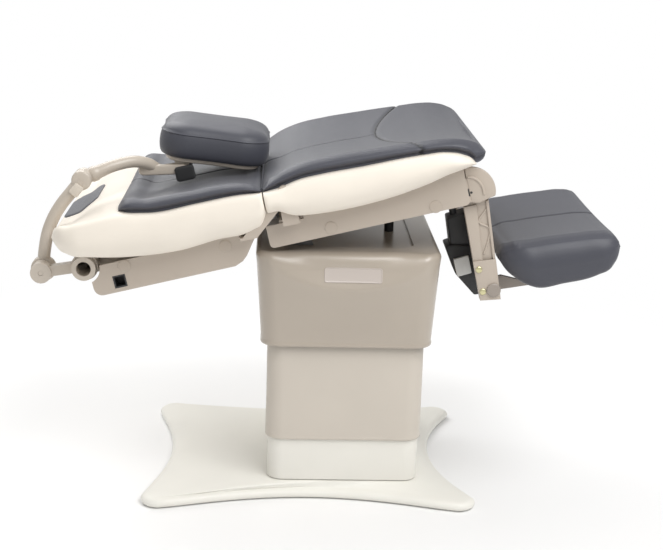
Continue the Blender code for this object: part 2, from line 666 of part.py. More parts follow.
housing_high = CARRIAGE_LOW - SEAT_GAP
housing = piece("tilt_actuator",
                rod((TILT_PIN_X, 0), "Z", housing_high - TILT_HOUSING_LENGTH, housing_high,
                    TILT_HOUSING_RADIUS),
                "carriage_axis", BLACK)
cut(housing,
    rod((TILT_PIN_X, 0), "Z", housing_high - TILT_HOUSING_LENGTH + HOUSING_END, housing_high + CUT_PAST,
                 TILT_ROD_RADIUS + RUNNING_GAP))
rod_low = housing_high - TILT_HOUSING_LENGTH + 0.070
tilt_rod = piece("tilt_rod",
                 turned([(rod_low, TILT_ROD_RADIUS),
                         (TILT_PIN_Z - TILT_HEAD[2] / 2 + 0.004, TILT_ROD_RADIUS)],
                                    (TILT_PIN_X, 0), "Z"), "tilt_rod_axis", STEEL)
head_half = [v / 2 for v in TILT_HEAD]
fuse(tilt_rod, block((TILT_PIN_X - head_half[0], -head_half[1], TILT_PIN_Z - head_half[2]),
                     (TILT_PIN_X + head_half[0], head_half[1], TILT_PIN_Z + head_half[2])))
cut(tilt_rod, block((TILT_PIN_X - TILT_SLOT[0] / 2, -TILT_HEAD[1], TILT_PIN_Z - TILT_SLOT[1] / 2),
                    (TILT_PIN_X + TILT_SLOT[0] / 2, TILT_HEAD[1], TILT_PIN_Z + TILT_SLOT[1] / 2)))


# Shells rest on the frames: the stations of each shell, and the lowest line of its underside
TRAY_HIGH = min(curve_at(SEAT_UNDERSIDE, u) for u in SEAT_STATIONS) - SEAT_GAP
BACK_FRAME_HIGH = min(curve_at(BACK_UNDERSIDE, u) for u in BACK_STATIONS) - SEAT_GAP

# Seat: steel tray with side walls that reach forward as ears, shaft, pins and side covers
tray_front = LEG_U - LEG_HOOD_RADIUS - TRAY_LEG_CLEAR
tray_ear_front = LEG_U + TRAY_EAR_PAST
tray = piece("seat_frame",
             block((TRAY_REAR, -TRAY_HALF, TRAY_LOW), (tray_ear_front, TRAY_HALF, TRAY_HIGH)),
             "seat_axis", FRAME_PAINT)
inner = TRAY_HALF - TRAY_WALL
cut(tray,
    block((TRAY_REAR + TRAY_WALL, -inner, TRAY_LOW - CUT_PAST),
          (tray_front - TRAY_WALL, inner, TRAY_HIGH - TRAY_WALL)))
cut(tray,
    block((tray_front, -inner, TRAY_LOW - CUT_PAST),
          (tray_ear_front + CUT_PAST, inner, TRAY_HIGH + CUT_PAST)))
ear_u = (BACK_U - EAR_LENGTH / 2, BACK_U + EAR_LENGTH / 2)
seat_ear_out = SEAT_EAR_Y + HINGE_PLATE_THICK
fuse(tray, block((ear_u[0], -seat_ear_out, TRAY_HIGH - TRAY_WALL), (ear_u[1], seat_ear_out, TRAY_HIGH)))
for sign in (-1, 1):
    low_y, high_y = sorted((sign * SEAT_EAR_Y, sign * seat_ear_out))
    outline = [(ear_u[0], TRAY_HIGH - TRAY_WALL), (ear_u[1], TRAY_HIGH - TRAY_WALL)]
    outline += arc_points((BACK_U, BACK_W), HINGE_EYE, 0, 180, 8)
    fuse(tray, across(outline, low_y, high_y))
cut(tray, rod((BACK_U, BACK_W), "Y", -TABLE_WIDTH, TABLE_WIDTH, HINGE_PIN_RADIUS + RUNNING_GAP / 2))
cut(tray, rod((LEG_U, LEG_W), "Y", -TABLE_WIDTH, TABLE_WIDTH, LEG_SHAFT_RADIUS + RUNNING_GAP / 2))

piece("tilt_shaft", rod((TILT_U, TILT_W), "Y", -inner + SEAT_GAP, inner - SEAT_GAP, TILT_SHAFT_RADIUS),
      "seat_axis", STEEL)
piece("tilt_pin",
      rod((TILT_PIN_U, TILT_PIN_W), "Y", -inner + SEAT_GAP, inner - SEAT_GAP, TILT_PIN_RADIUS,
          16), "seat_axis", STEEL)
piece("leg_shaft", rod((LEG_U, LEG_W), "Y", -TRAY_HALF, TRAY_HALF, LEG_SHAFT_RADIUS), "seat_axis", STEEL)
back_ear_y = seat_ear_out + HINGE_SLOT_MARGIN
back_ear_out = back_ear_y + HINGE_PLATE_THICK
for side_name, sign in (("near", -1), ("far", 1)):
    low_y, high_y = sorted((sign * SEAT_EAR_Y, sign * back_ear_out))
    piece("hinge_pin_" + side_name, rod((BACK_U, BACK_W), "Y", low_y, high_y, HINGE_PIN_RADIUS, 16),
          "seat_axis", STEEL)


def seat_cover_outline():
    """Side panel: corners eased below, top edge just under the shell, stepped down past the hinge ear."""
    corner = SIDE_COVER_CORNER
    low = SIDE_COVER_LOW + corner
    outline = arc_points((SIDE_COVER_REAR + corner, low), corner, 180, 270, 3)
    outline += arc_points((SIDE_COVER_FRONT - corner, low), corner, 270, 360, 3)
    step_w = TRAY_HIGH - TRAY_WALL - 2 * SEAT_GAP
    step_u = ear_u[1] + 0.008
    count = 8
    for i in range(count + 1):
        u = SIDE_COVER_FRONT + (step_u - SIDE_COVER_FRONT) * i / count
        outline.append((u, curve_at(SEAT_UNDERSIDE, u) - 0.0020))
    return outline + [(step_u, step_w), (SIDE_COVER_REAR, step_w)]


for side_name, sign in (("near", -1), ("far", 1)):
    low_y, high_y = sorted((sign * (TRAY_HALF + SEAT_GAP), sign * (TRAY_HALF + SEAT_GAP + SIDE_COVER_THICK)))
    piece("seat_cover_" + side_name, across(seat_cover_outline(), low_y, high_y), "seat_axis", TAUPE)


def lug(name, pin, plate_outline, centre_y, gap, carrier):
    """Two plates across a gap with the pin that they hold."""
    out = gap / 2 + LUG_THICK
    lug_piece = piece(name, across(plate_outline, centre_y - out, centre_y - gap / 2), carrier, FRAME_PAINT)
    fuse(lug_piece, across(plate_outline, centre_y + gap / 2, centre_y + out))
    fuse(lug_piece, rod(pin, "Y", centre_y - out + 0.001, centre_y + out - 0.001, DRIVE_PIN_RADIUS, 16))
    return lug_piece


back_gap = BACK_YOKE[1] + 2 * LUG_CLEAR
lug("back_lug", (BACK_PIN_U, BACK_PIN_W),
    [(TRAY_REAR - SEAT_GAP, TRAY_LOW + 0.004), (TRAY_REAR - SEAT_GAP, BACK_PIN_W + 0.013)]
    + arc_points((BACK_PIN_U, BACK_PIN_W), 0.011, 90, 270, 6), 0.0, back_gap, "seat_axis")
leg_gap = LEG_YOKE[1] + 2 * LUG_CLEAR
lug("leg_lug", (LEG_PIN_U, LEG_PIN_W),
    [(tray_front + SEAT_GAP, TRAY_HIGH - 0.004), (tray_front + SEAT_GAP, TRAY_LOW - 0.014)]
    + arc_points((LEG_PIN_U, LEG_PIN_W), 0.011, 250, 400, 6), LEG_DRIVE_Y, leg_gap, "seat_axis")


# Upholstered shells: solid bodies whose sides swell between the underside and the rim
def shell_half(u, ends):
    """Half width of a shell, drawn in at its rounded ends."""
    half = TABLE_WIDTH / 2
    for end, reach, depth in ends:
        t = max(0.0, 1.0 - abs(u - end) / reach)
        half -= depth * (1.0 - math.sqrt(max(0.0, 1.0 - t * t)))
    return half


def shell_ring(u, low, rim, half, crown):
    """Section of a shell at u: flat underside, swelling sides, a rim, and a top that may be crowned."""
    height = rim - low
    side = [(half - 0.050, low), (half - 0.022, low + 0.06 * height), (half - 0.006, low + 0.28 * height),
            (half, low + 0.52 * height), (half - 0.004, low + 0.76 * height),
            (half - 0.013, low + 0.93 * height)]
    top = []
    for share in (1.0, 0.93, 0.82, 0.6, 0.3):
        y = (half - 0.024) * share
        top.append((y, rim + crown * (1.0 - share**4)))
    right = side + top
    ring = right + [(0.0, rim + crown)] + [(-y, w) for y, w in right[::-1]] + [(0.0, low)]
    return [(u, y, w) for y, w in ring]


seat_shell = piece("seat_shell",
                   loft([shell_ring(u, curve_at(SEAT_UNDERSIDE, u), curve_at(SEAT_RIM, u),
                                    shell_half(u, SEAT_ENDS), 0.0)
                                       for u in SEAT_STATIONS]), "seat_axis", CREAM)
slot_in = SEAT_EAR_Y - HINGE_SLOT_MARGIN
slot_out = back_ear_out + HINGE_SLOT_MARGIN
for sign in (-1, 1):
    low_y, high_y = sorted((sign * slot_in, sign * slot_out))
    cut(seat_shell, block((-CUT_PAST, low_y, TRAY_LOW), (ear_u[1] + 0.006, high_y, SHELL_CUT_HIGH)))


def cushion_ring(u, low, high, base_half, dish, seam_depth):
    """Section of a cushion: flat where it rests, drawn-in sides below a bulge, dished top, centre seam."""
    height = high - low
    bulge = min(CUSHION_BULGE, 0.6 * height)
    right = [(base_half - 0.040, low), (base_half, low), (base_half - 0.0015, low + 0.14 * height),
             (base_half + 0.8 * bulge, low + 0.34 * height), (base_half + bulge, low + 0.52 * height),
             (base_half + 0.5 * bulge, low + 0.76 * height), (base_half - 0.5 * bulge, low + 0.93 * height)]
    for share in (0.94, 0.82, 0.62, 0.40, 0.20):
        right.append((base_half * share, high - dish * (1.0 - share**2)))
    middle = high - dish
    right += [(SEAM_WIDTH, middle), (0.35 * SEAM_WIDTH, middle - 0.8 * seam_depth)]
    ring = right + [(0.0, middle - seam_depth)] + [(-y, w) for y, w in right[::-1]] + [(0.0, low)]
    return [(u, y, w) for y, w in ring]


def rim_of(line, stations, u):
    """Rim height of a faceted shell at u."""
    return float(np.interp(u, stations, [curve_at(line, s) for s in stations]))


def seat_underside(u):
    if u < SEAT_NOSE[0][0]:
        return rim_of(SEAT_RIM, SEAT_STATIONS, u) + SEAT_GAP
    return curve_at(SEAT_NOSE, u)


cushion_rings = []
for u in SEAT_CUSHION_STATIONS:
    low, high = seat_underside(u), curve_at(SEAT_TOP, u)
    fade = min(1.0, (high - low) / 0.035)
    draw = 0.030 * max(0.0, (u - 0.440) / 0.076) ** 2
    cushion_rings.append(cushion_ring(u, low, high, CUSHION_BASE_HALF - draw, CUSHION_DISH * fade**2,
                                      SEAM_DEPTH * fade))
piece("seat_cushion", loft(cushion_rings), "seat_axis", GREY)

# Back: shell with a crowned head end, its cushion and the inset neck pad
back_rings = []
for u in BACK_STATIONS:
    crown = 0.0
    if u < CUSHION_END - 0.0006:
        crown = HEAD_CROWN * min(1.0, (u - BACK_RIM[0][0] + 0.0005) / HEAD_CROWN_REACH) ** 0.5
    back_rings.append(shell_ring(u, curve_at(BACK_UNDERSIDE, u), curve_at(BACK_RIM, u),
                                 shell_half(u, BACK_ENDS), crown))
back_shell = piece("back_shell", loft(back_rings), "back_axis", CREAM)
for sign in (-1, 1):
    low_y, high_y = sorted((sign * slot_in, sign * slot_out))
    cut(back_shell,
        block((BACK_EAR_U - EAR_LENGTH / 2 - 0.006, low_y, TRAY_LOW), (CUT_PAST, high_y, HINGE_SLOT_HIGH)))
neck_ring = rounded(0.110, NECK_HALF, 0.035, arc=4, side=2)
neck_centre = NECK_REAR - 0.110
cut(back_shell,
    loft([[(neck_centre + u, y, NECK_LOW) for u, y in neck_ring],
          [(neck_centre + u, y, SHELL_CUT_HIGH) for u, y in neck_ring]]))

cushion_rings = []
for u in BACK_CUSHION_STATIONS:
    low, high = rim_of(BACK_RIM, BACK_STATIONS, u) + SEAT_GAP, curve_at(BACK_TOP, u)
    fade = min(1.0, (u - CUSHION_END + 0.006) / 0.060, (0.010 - u) / 0.050)
    draw = 0.020 * max(0.0, (-0.300 - u) / 0.036) ** 2
    cushion_rings.append(cushion_ring(u, low, high, CUSHION_BASE_HALF - draw, CUSHION_DISH * fade,
                                      SEAM_DEPTH * fade))
piece("back_cushion", loft(cushion_rings), "back_axis", GREY)

neck_rings = []
neck_front = -0.494
neck_half_u = (NECK_REAR - SEAT_GAP - neck_front) / 2
for share, rise in ((0.985, 0.0), (1.0, 0.004), (0.96, 0.009), (0.80, NECK_CROWN),
                    (0.45, NECK_CROWN + 0.002)):
    ring = rounded(neck_half_u * share, (NECK_HALF - SEAT_GAP) * share, 0.034 * share, arc=4, side=2)
    neck_rings.append([(neck_front + neck_half_u + u, y, NECK_LOW + SEAT_GAP + rise) for u, y in ring])
piece("neck_pad", loft(neck_rings), "back_axis", GREY)

# Back frame: two rails, cross members, hinge plates and the eyes of the accessory tube
rail_low = BACK_FRAME_HIGH - BACK_RAIL_HEIGHT
eye_radius = CROSS_TUBE_RADIUS + 0.004
rail_start = CROSS_TUBE_U
near_rail = (-BACK_RAIL_Y - BACK_RAIL_WIDTH / 2, -BACK_RAIL_Y + BACK_RAIL_WIDTH / 2)
back_frame = piece("back_frame",
                   block((rail_start, near_rail[0], rail_low),
                         (BACK_RAIL_FRONT, near_rail[1], BACK_FRAME_HIGH)),
                   "back_axis", FRAME_PAINT)
fuse(back_frame,
     block((rail_start, -near_rail[1], rail_low), (BACK_RAIL_FRONT, -near_rail[0], BACK_FRAME_HIGH)))
cross_u = (BACK_EAR_U - BACK_CROSS_LENGTH / 2, BACK_EAR_U + BACK_CROSS_LENGTH / 2)
fuse(back_frame,
     block((cross_u[0], -back_ear_out, BACK_FRAME_HIGH - TRAY_WALL),
           (cross_u[1], back_ear_out, BACK_FRAME_HIGH)))
fuse(back_frame, block((BACK_CROSS_REAR_U - BACK_CROSS_LENGTH / 2, near_rail[1] - 0.002, rail_low),
                       (BACK_CROSS_REAR_U + BACK_CROSS_LENGTH / 2, -near_rail[1] + 0.002, BACK_FRAME_HIGH)))
for sign in (-1, 1):
    low_y, high_y = sorted((sign * near_rail[0], sign * near_rail[1]))
    fuse(back_frame, rod((CROSS_TUBE_U, CROSS_TUBE_W), "Y", low_y, high_y, eye_radius))
    low_y, high_y = sorted((sign * back_ear_y, sign * back_ear_out))
    outline = [(cross_u[0], BACK_FRAME_HIGH - TRAY_WALL), (cross_u[1], BACK_FRAME_HIGH - TRAY_WALL)]
    outline += arc_points((BACK_U, BACK_W), HINGE_EYE, -45, 135, 8)
    fuse(back_frame, across(outline, low_y, high_y))
cut(back_frame, rod((BACK_U, BACK_W), "Y", -TABLE_WIDTH, TABLE_WIDTH, HINGE_PIN_RADIUS + RUNNING_GAP / 2))
cut(back_frame,
    rod((CROSS_TUBE_U, CROSS_TUBE_W), "Y", -TABLE_WIDTH, TABLE_WIDTH, CROSS_TUBE_RADIUS + SEAT_GAP, 32))

cross_tube = piece("cross_tube",
                   rod((CROSS_TUBE_U, CROSS_TUBE_W), "Y", -CROSS_TUBE_HALF, CROSS_TUBE_HALF,
                       CROSS_TUBE_RADIUS, 32),
                   "back_axis", STEEL)
cut(cross_tube, rod((CROSS_TUBE_U, CROSS_TUBE_W), "Y", -TABLE_WIDTH, TABLE_WIDTH, CROSS_TUBE_BORE, 24))

# Under-cover of the back: a moulded tub, open above and at the head end, scalloped round the tube
cover_top_right = (BACK_COVER_LINE[-1][0], BACK_FRAME_HIGH - TRAY_WALL - 2 * SEAT_GAP)
step_left = cross_u[0] - 0.004
corner_centre = (BACK_COVER_LINE[0][0] + BACK_COVER_CORNER, BACK_COVER_LINE[0][1] + BACK_COVER_CORNER)
cover_outline = arc_points(corner_centre, BACK_COVER_CORNER, 180, 270, 5) + BACK_COVER_LINE[1:]
cover_outline += [cover_top_right, (step_left, cover_top_right[1]), (step_left, BACK_FRAME_HIGH),
                  (BACK_COVER_LINE[0][0], BACK_FRAME_HIGH)]
back_cover = piece("back_cover", across(cover_outline, -BACK_COVER_HALF, BACK_COVER_HALF), "back_axis",
                   TAUPE)
pocket = [(u - BACK_COVER_WALL, w + BACK_COVER_WALL) for u, w in BACK_COVER_LINE[1:]]
pocket_left = BACK_COVER_LINE[0][0] - CUT_PAST
pocket = [(pocket_left, BACK_COVER_LINE[0][1] + BACK_COVER_WALL)] + pocket
pocket += [(pocket[-1][0], SHELL_CUT_HIGH), (pocket_left, SHELL_CUT_HIGH)]
cut(back_cover, across(pocket, -BACK_COVER_HALF + BACK_COVER_WALL, BACK_COVER_HALF - BACK_COVER_WALL))
cut(back_cover, rod((CROSS_TUBE_U, CROSS_TUBE_W), "Y", -TABLE_WIDTH, TABLE_WIDTH, COVER_SCALLOP, 32))
drive_slot = BACK_YOKE[1] / 2 + 0.006
cut(back_cover,
    block((BACK_DRIVE_FRONT - 0.040, -drive_slot, BACK_DRIVE_W - 0.036), (CUT_PAST, drive_slot, CUT_PAST)))
socket_low = (SOCKET_U - SOCKET_SIZE / 2, SOCKET_W - SOCKET_SIZE / 2)
socket_high = (SOCKET_U + SOCKET_SIZE / 2, SOCKET_W + SOCKET_SIZE / 2)
cut(back_cover, block((socket_low[0] - SEAT_GAP, -TABLE_WIDTH, socket_low[1] - SEAT_GAP),
                      (socket_high[0] + SEAT_GAP, TABLE_WIDTH, socket_high[1] + SEAT_GAP)))
for side_name, sign in (("near", -1), ("far", 1)):
    low_y, high_y = sorted((sign * (BACK_COVER_HALF - SOCKET_DEPTH), sign * BACK_COVER_HALF))
    socket = piece("accessory_socket_" + side_name,
                   block((socket_low[0], low_y, socket_low[1]), (socket_high[0], high_y, socket_high[1])),
                   "back_axis", BLACK)
    bore = SOCKET_BORE / 2
    low_y, high_y = sorted((sign * (BACK_COVER_HALF - SOCKET_DEPTH + 0.004), sign * TABLE_WIDTH))
    cut(socket, block((SOCKET_U - bore, low_y, SOCKET_W - bore), (SOCKET_U + bore, high_y, SOCKET_W + bore)))

# Back drive: housing butted on the rear cross member, rod and slotted yoke round the seat's pin
drive_rear = BACK_CROSS_REAR_U + BACK_CROSS_LENGTH / 2 + SEAT_GAP
drive = piece("back_actuator", rod((0, BACK_DRIVE_W), "X", drive_rear, BACK_DRIVE_FRONT, BACK_DRIVE_RADIUS),
              "back_axis", BLACK)
cut(drive,
    rod((0, BACK_DRIVE_W), "X", drive_rear + HOUSING_END, BACK_DRIVE_FRONT + CUT_PAST,
        BACK_ROD_RADIUS + RUNNING_GAP, 16))
yoke_u = BACK_PIN_U
back_rod = piece("back_rod",
                 rod((0, BACK_DRIVE_W), "X", drive_rear + 0.020, yoke_u - BACK_YOKE[0] / 2 + 0.003,
                     BACK_ROD_RADIUS, 16),
                 "back_rod_axis", STEEL)
fuse(back_rod, block((yoke_u - BACK_YOKE[0] / 2, -BACK_YOKE[1] / 2, BACK_DRIVE_W - BACK_YOKE[2] / 2),
                     (yoke_u + BACK_YOKE[0] / 2, BACK_YOKE[1] / 2, BACK_DRIVE_W + BACK_YOKE[2] / 2)))
cut(back_rod, block((yoke_u - BACK_YOKE_SLOT[0] / 2, -BACK_YOKE[1], BACK_DRIVE_W - BACK_YOKE_SLOT[1] / 2),
                    (yoke_u + BACK_YOKE_SLOT[0] / 2, BACK_YOKE[1], BACK_DRIVE_W + BACK_YOKE_SLOT[1] / 2)))


# Headrest arm: hub round the cross tube, two bent arms with eyes side by side, and the pins through them
def bar_outline(start, end, half):
    """Straight bar between two (u, w) points."""
    along = Vector((end[0] - start[0], end[1] - start[1])).normalized()
    side = Vector((-along.y, along.x)) * half
    return [(start[0] + side.x, start[1] + side.y), (start[0] - side.x, start[1] - side.y),
            (end[0] - side.x, end[1] - side.y), (end[0] + side.x, end[1] + side.y)]


tube_centre = (CROSS_TUBE_U, CROSS_TUBE_W)
hub = piece("arm_hub", rod(tube_centre, "Y", *HUB_Y, HUB_RADIUS, 32), "hub_axis", ARM_PAINT)
fuse(hub, across(bar_outline(tube_centre, KNUCKLE_1, HUB_BAR_HALF), HUB_Y[0] + 0.004, HUB_Y[1] - 0.004))
fuse(hub, rod(KNUCKLE_1, "Y", *HUB_Y, LOWER_ARM_EYE))
cut(hub, rod(tube_centre, "Y", -TABLE_WIDTH, 0.0, CROSS_TUBE_RADIUS + SEAT_GAP, 32))
pin_bore = KNUCKLE_PIN_RADIUS + RUNNING_GAP / 2
cut(hub, rod(KNUCKLE_1, "Y", -TABLE_WIDTH, 0.0, pin_bore, 16))

lower_y = (LOWER_ARM_Y - KNUCKLE_WIDTH / 2, LOWER_ARM_Y + KNUCKLE_WIDTH / 2)
arm_route = [(u, LOWER_ARM_Y, w) for u, w in [KNUCKLE_1] + LOWER_ARM_BEND + [KNUCKLE_2]]
lower_arm = piece("lower_arm", pipe(arm_route, ARM_RADIUS), "knuckle_1_axis", ARM_PAINT)
fuse(lower_arm, rod(KNUCKLE_1, "Y", *lower_y, LOWER_ARM_EYE), rod(KNUCKLE_2, "Y", *lower_y, LOWER_ARM_EYE))
cut(lower_arm, rod(KNUCKLE_1, "Y", -TABLE_WIDTH, 0.0, pin_bore, 16),
    rod(KNUCKLE_2, "Y", -TABLE_WIDTH, 0.0, pin_bore, 16))

upper_y = (lower_y[1] + RUNNING_GAP, lower_y[1] + RUNNING_GAP + KNUCKLE_WIDTH)
upper_mid = (upper_y[0] + upper_y[1]) / 2
pad_knuckle_mid = (PAD_KNUCKLE_Y[0] + PAD_KNUCKLE_Y[1]) / 2
arm_route = [(KNUCKLE_2[0], upper_mid, KNUCKLE_2[1])] + UPPER_ARM_BEND
arm_route += [(PAD_AXIS[0], pad_knuckle_mid, PAD_AXIS[1])]
upper_arm = piece("upper_arm", pipe(arm_route, ARM_RADIUS), "knuckle_2_axis", ARM_PAINT)
fuse(upper_arm, rod(KNUCKLE_2, "Y", *upper_y, UPPER_ARM_EYE))
cut(upper_arm, rod(KNUCKLE_2, "Y", -TABLE_WIDTH, 0.0, pin_bore, 16))
cut(upper_arm, rod(PAD_AXIS, "Y", -TABLE_WIDTH, TABLE_WIDTH, PAD_KNUCKLE_RADIUS + SEAT_GAP))

piece("knuckle_pin_1", rod(KNUCKLE_1, "Y", HUB_Y[0] + 0.001, lower_y[1] - 0.001, KNUCKLE_PIN_RADIUS, 16),
      "hub_axis", STEEL)
piece("knuckle_pin_2", rod(KNUCKLE_2, "Y", lower_y[0] + 0.001, upper_y[1] - 0.001, KNUCKLE_PIN_RADIUS, 16),
      "knuckle_1_axis", STEEL)

# Pad pivot: knuckle with an axle that carries the pad's lugs and the clamp lever
near_lug = (PAD_KNUCKLE_Y[0] - SEAT_GAP - PAD_LUG_THICK, PAD_KNUCKLE_Y[0] - SEAT_GAP)
far_lug = (PAD_KNUCKLE_Y[1] + SEAT_GAP, PAD_KNUCKLE_Y[1] + SEAT_GAP + PAD_LUG_THICK)
lever_y = (near_lug[0] - SEAT_GAP - LEVER_THICK, near_lug[0] - SEAT_GAP)
axle = [(lever_y[0] - 0.003, PAD_AXLE_RADIUS), (PAD_KNUCKLE_Y[0], PAD_AXLE_RADIUS),
        (PAD_KNUCKLE_Y[0], PAD_KNUCKLE_RADIUS),
        (PAD_KNUCKLE_Y[1], PAD_KNUCKLE_RADIUS), (PAD_KNUCKLE_Y[1], PAD_AXLE_RADIUS),
        (far_lug[1] + 0.003, PAD_AXLE_RADIUS)]
piece("pad_pivot", turned(axle, PAD_AXIS, "Y"), "knuckle_2_axis", BLACK)
axle_bore = PAD_AXLE_RADIUS + RUNNING_GAP / 2
lever_end = (PAD_AXIS[0] - LEVER_LENGTH, PAD_AXIS[1] + 0.018)
lever = piece("release_lever", rod(PAD_AXIS, "Y", *lever_y, 0.014), "lever_axis", ARM_PAINT)
fuse(lever,
     across(bar_outline(PAD_AXIS, lever_end, LEVER_WIDTH / 2), lever_y[0] + 0.001, lever_y[1] - 0.001))
fuse(lever, rod(lever_end, "Y", lever_y[0] + 0.001, lever_y[1] - 0.001, LEVER_WIDTH / 2))
cut(lever, rod(PAD_AXIS, "Y", -TABLE_WIDTH, TABLE_WIDTH, axle_bore, 24))


# Headrest pad: drawn along its own slope, d along the pad and n up from it
def pad_point(d, y, n):
    u = d * math.cos(PAD_SLOPE) + n * math.sin(PAD_SLOPE)
    return (u, y, -d * math.sin(PAD_SLOPE) + n * math.cos(PAD_SLOPE))


pad_mid = (PAD_LEFT + PAD_RIGHT) / 2
pad_length_half = (PAD_RIGHT - PAD_LEFT) / 2


def pad_ring(inset, n):
    corner = max(PAD_CORNER - inset, 0.010)
    outline = rounded(pad_length_half - inset, PAD_HALF - inset, corner, 0.006, 0.006, arc=6, side=3)
    return [pad_point(pad_mid + d, y, n) for d, y in outline]


plate_low, plate_high = PAD_LOW, PAD_LOW + PAD_PLATE_THICK
plate = piece("headrest_plate",
              loft([pad_ring(0.020, plate_low), pad_ring(0.014, plate_low + 0.003),
                    pad_ring(0.012, plate_high)]),
              "pad_axis", ARM_PAINT)
pad_top_w = PAD_AXIS[1] + 0.034
for low_y, high_y in (near_lug, far_lug):
    outline = [(PAD_AXIS[0] + 0.017, pad_top_w - 0.014), (PAD_AXIS[0] - 0.017, pad_top_w - 0.001)]
    outline += arc_points(PAD_AXIS, 0.016, 170, 370, 8)
    fuse(plate, across(outline, low_y, high_y))
cut(plate, rod(PAD_AXIS, "Y", -TABLE_WIDTH, TABLE_WIDTH, axle_bore, 24))
cut(plate,
    rod(PAD_AXIS, "Y", PAD_KNUCKLE_Y[0] - SEAT_GAP, PAD_KNUCKLE_Y[1] + SEAT_GAP,
        PAD_KNUCKLE_RADIUS + SEAT_GAP))

pad_base = plate_high + SEAT_GAP
pad_height = PAD_HIGH - pad_base
pad_sides = [(0.014, 0.0), (0.004, 0.06), (0.001, 0.18), (0.004, 0.38), (0.002, 0.60), (0.000, 0.80),
             (0.003, 0.94)]
pad_rings = [pad_ring(inset, pad_base + share * pad_height) for inset, share in pad_sides]
pad_crown = [(0.010, 0.0), (0.030, 0.55), (0.065, 0.90), (0.100, 1.0)]
pad_rings += [pad_ring(inset, PAD_HIGH + share * PAD_CROWN) for inset, share in pad_crown]
piece("headrest_pad", loft(pad_rings), "pad_axis", GREY)


# Leg rest: two ribbed sides under round hoods, a panel between them, lower brackets and the drive
def leg_front(w):
    t = (LEG_W - w) / (LEG_W - LEG_LOW)
    return LEG_FRONT_TOP + (LEG_FRONT_LOW - LEG_FRONT_TOP) * t


leg_outline = arc_points((LEG_U, LEG_W), LEG_HOOD_RADIUS, 215, -28, 16)
leg_outline += [(leg_front(-0.090), -0.090), (LEG_FRONT_LOW, LEG_LOW), (LEG_REAR, LEG_LOW),
                (LEG_REAR, -0.085)]
leg_out = LEG_SIDE_Y + LEG_SIDE_THICK
for side_name, sign in (("near", -1), ("far", 1)):
    low_y, high_y = sorted((sign * LEG_SIDE_Y, sign * leg_out))
    leg_side = piece("leg_side_" + side_name, across(leg_outline, low_y, high_y), "leg_axis", TAUPE)
    for i in range(LEG_POCKETS):
        top = LEG_POCKET_HIGH + (LEG_BRACKET_HIGH - LEG_POCKET_HIGH) * i / LEG_POCKETS
        low = LEG_POCKET_HIGH + (LEG_BRACKET_HIGH - LEG_POCKET_HIGH) * (i + 1) / LEG_POCKETS
        rear, front = LEG_REAR + LEG_RIB, leg_front(top) - LEG_RIB
        tip = (front, top if i % 2 else low + LEG_RIB)
        triangle = [(rear, top), tip, (rear, low + LEG_RIB)]
        outer_y, inner_y = sign * (leg_out + CUT_PAST), sign * (LEG_SIDE_Y + LEG_WEB)
        cut(leg_side, across(triangle, min(outer_y, inner_y), max(outer_y, inner_y)))
    cut(leg_side, rod((LEG_U, LEG_W), "Y", -TABLE_WIDTH, TABLE_WIDTH, LEG_SHAFT_RADIUS + RUNNING_GAP / 2))
    cut(leg_side, rod((FOOT_U, FOOT_W), "Y", -TABLE_WIDTH, TABLE_WIDTH, FOOT_SHAFT_RADIUS + RUNNING_GAP / 2))
    low_y, high_y = sorted((sign * (leg_out + SEAT_GAP), sign * (leg_out + SEAT_GAP + LEG_BRACKET_THICK)))
    bracket_outline = [(LEG_REAR, LEG_BRACKET_HIGH), (LEG_REAR, LEG_LOW), (LEG_FRONT_LOW, LEG_LOW),
                       (LEG_FRONT_LOW, LEG_BRACKET_HIGH - 0.022),
                       (LEG_FRONT_LOW - 0.012, LEG_BRACKET_HIGH)]
    bracket = piece("leg_bracket_" + side_name, across(bracket_outline, low_y, high_y), "leg_axis", TAUPE)
    cut(bracket, rod((FOOT_U, FOOT_W), "Y", -TABLE_WIDTH, TABLE_WIDTH, FOOT_SHAFT_RADIUS + RUNNING_GAP / 2))

panel_half = LEG_SIDE_Y - SEAT_GAP
piece("leg_panel",
      block((LEG_PANEL_U, -panel_half, LEG_BRACKET_HIGH - 0.014),
            (LEG_PANEL_U + LEG_PANEL_THICK, panel_half, -0.090)),
      "leg_axis", TAUPE)

leg_centre = (LEG_DRIVE_U, LEG_DRIVE_Y)
leg_drive = piece("leg_actuator", rod(leg_centre, "Z", LEG_DRIVE_LOW, LEG_DRIVE_HIGH, LEG_DRIVE_RADIUS),
                  "leg_axis", BLACK)
drive_block = (LEG_DRIVE_U + LEG_DRIVE_RADIUS - 0.010, LEG_PANEL_U - SEAT_GAP)
fuse(leg_drive,
     block((drive_block[0], LEG_DRIVE_Y - 0.014, LEG_DRIVE_BLOCK[0]),
           (drive_block[1], LEG_DRIVE_Y + 0.014, LEG_DRIVE_BLOCK[1])))
cut(leg_drive, rod(leg_centre, "Z", LEG_DRIVE_LOW + HOUSING_END, 0.0, LEG_ROD_RADIUS + RUNNING_GAP, 16))
leg_yoke_u = LEG_DRIVE_U + LEG_YOKE_SHIFT
leg_rod = piece("leg_rod",
                rod(leg_centre, "Z", LEG_DRIVE_LOW + 0.040, LEG_PIN_W - LEG_YOKE[2] / 2 + 0.003,
                    LEG_ROD_RADIUS, 16),
                "leg_rod_axis", STEEL)
fuse(leg_rod,
     block((leg_yoke_u - LEG_YOKE[0] / 2, LEG_DRIVE_Y - LEG_YOKE[1] / 2, LEG_PIN_W - LEG_YOKE[2] / 2),
                    (leg_yoke_u + LEG_YOKE[0] / 2, LEG_DRIVE_Y + LEG_YOKE[1] / 2,
                     LEG_PIN_W + LEG_YOKE[2] / 2)))
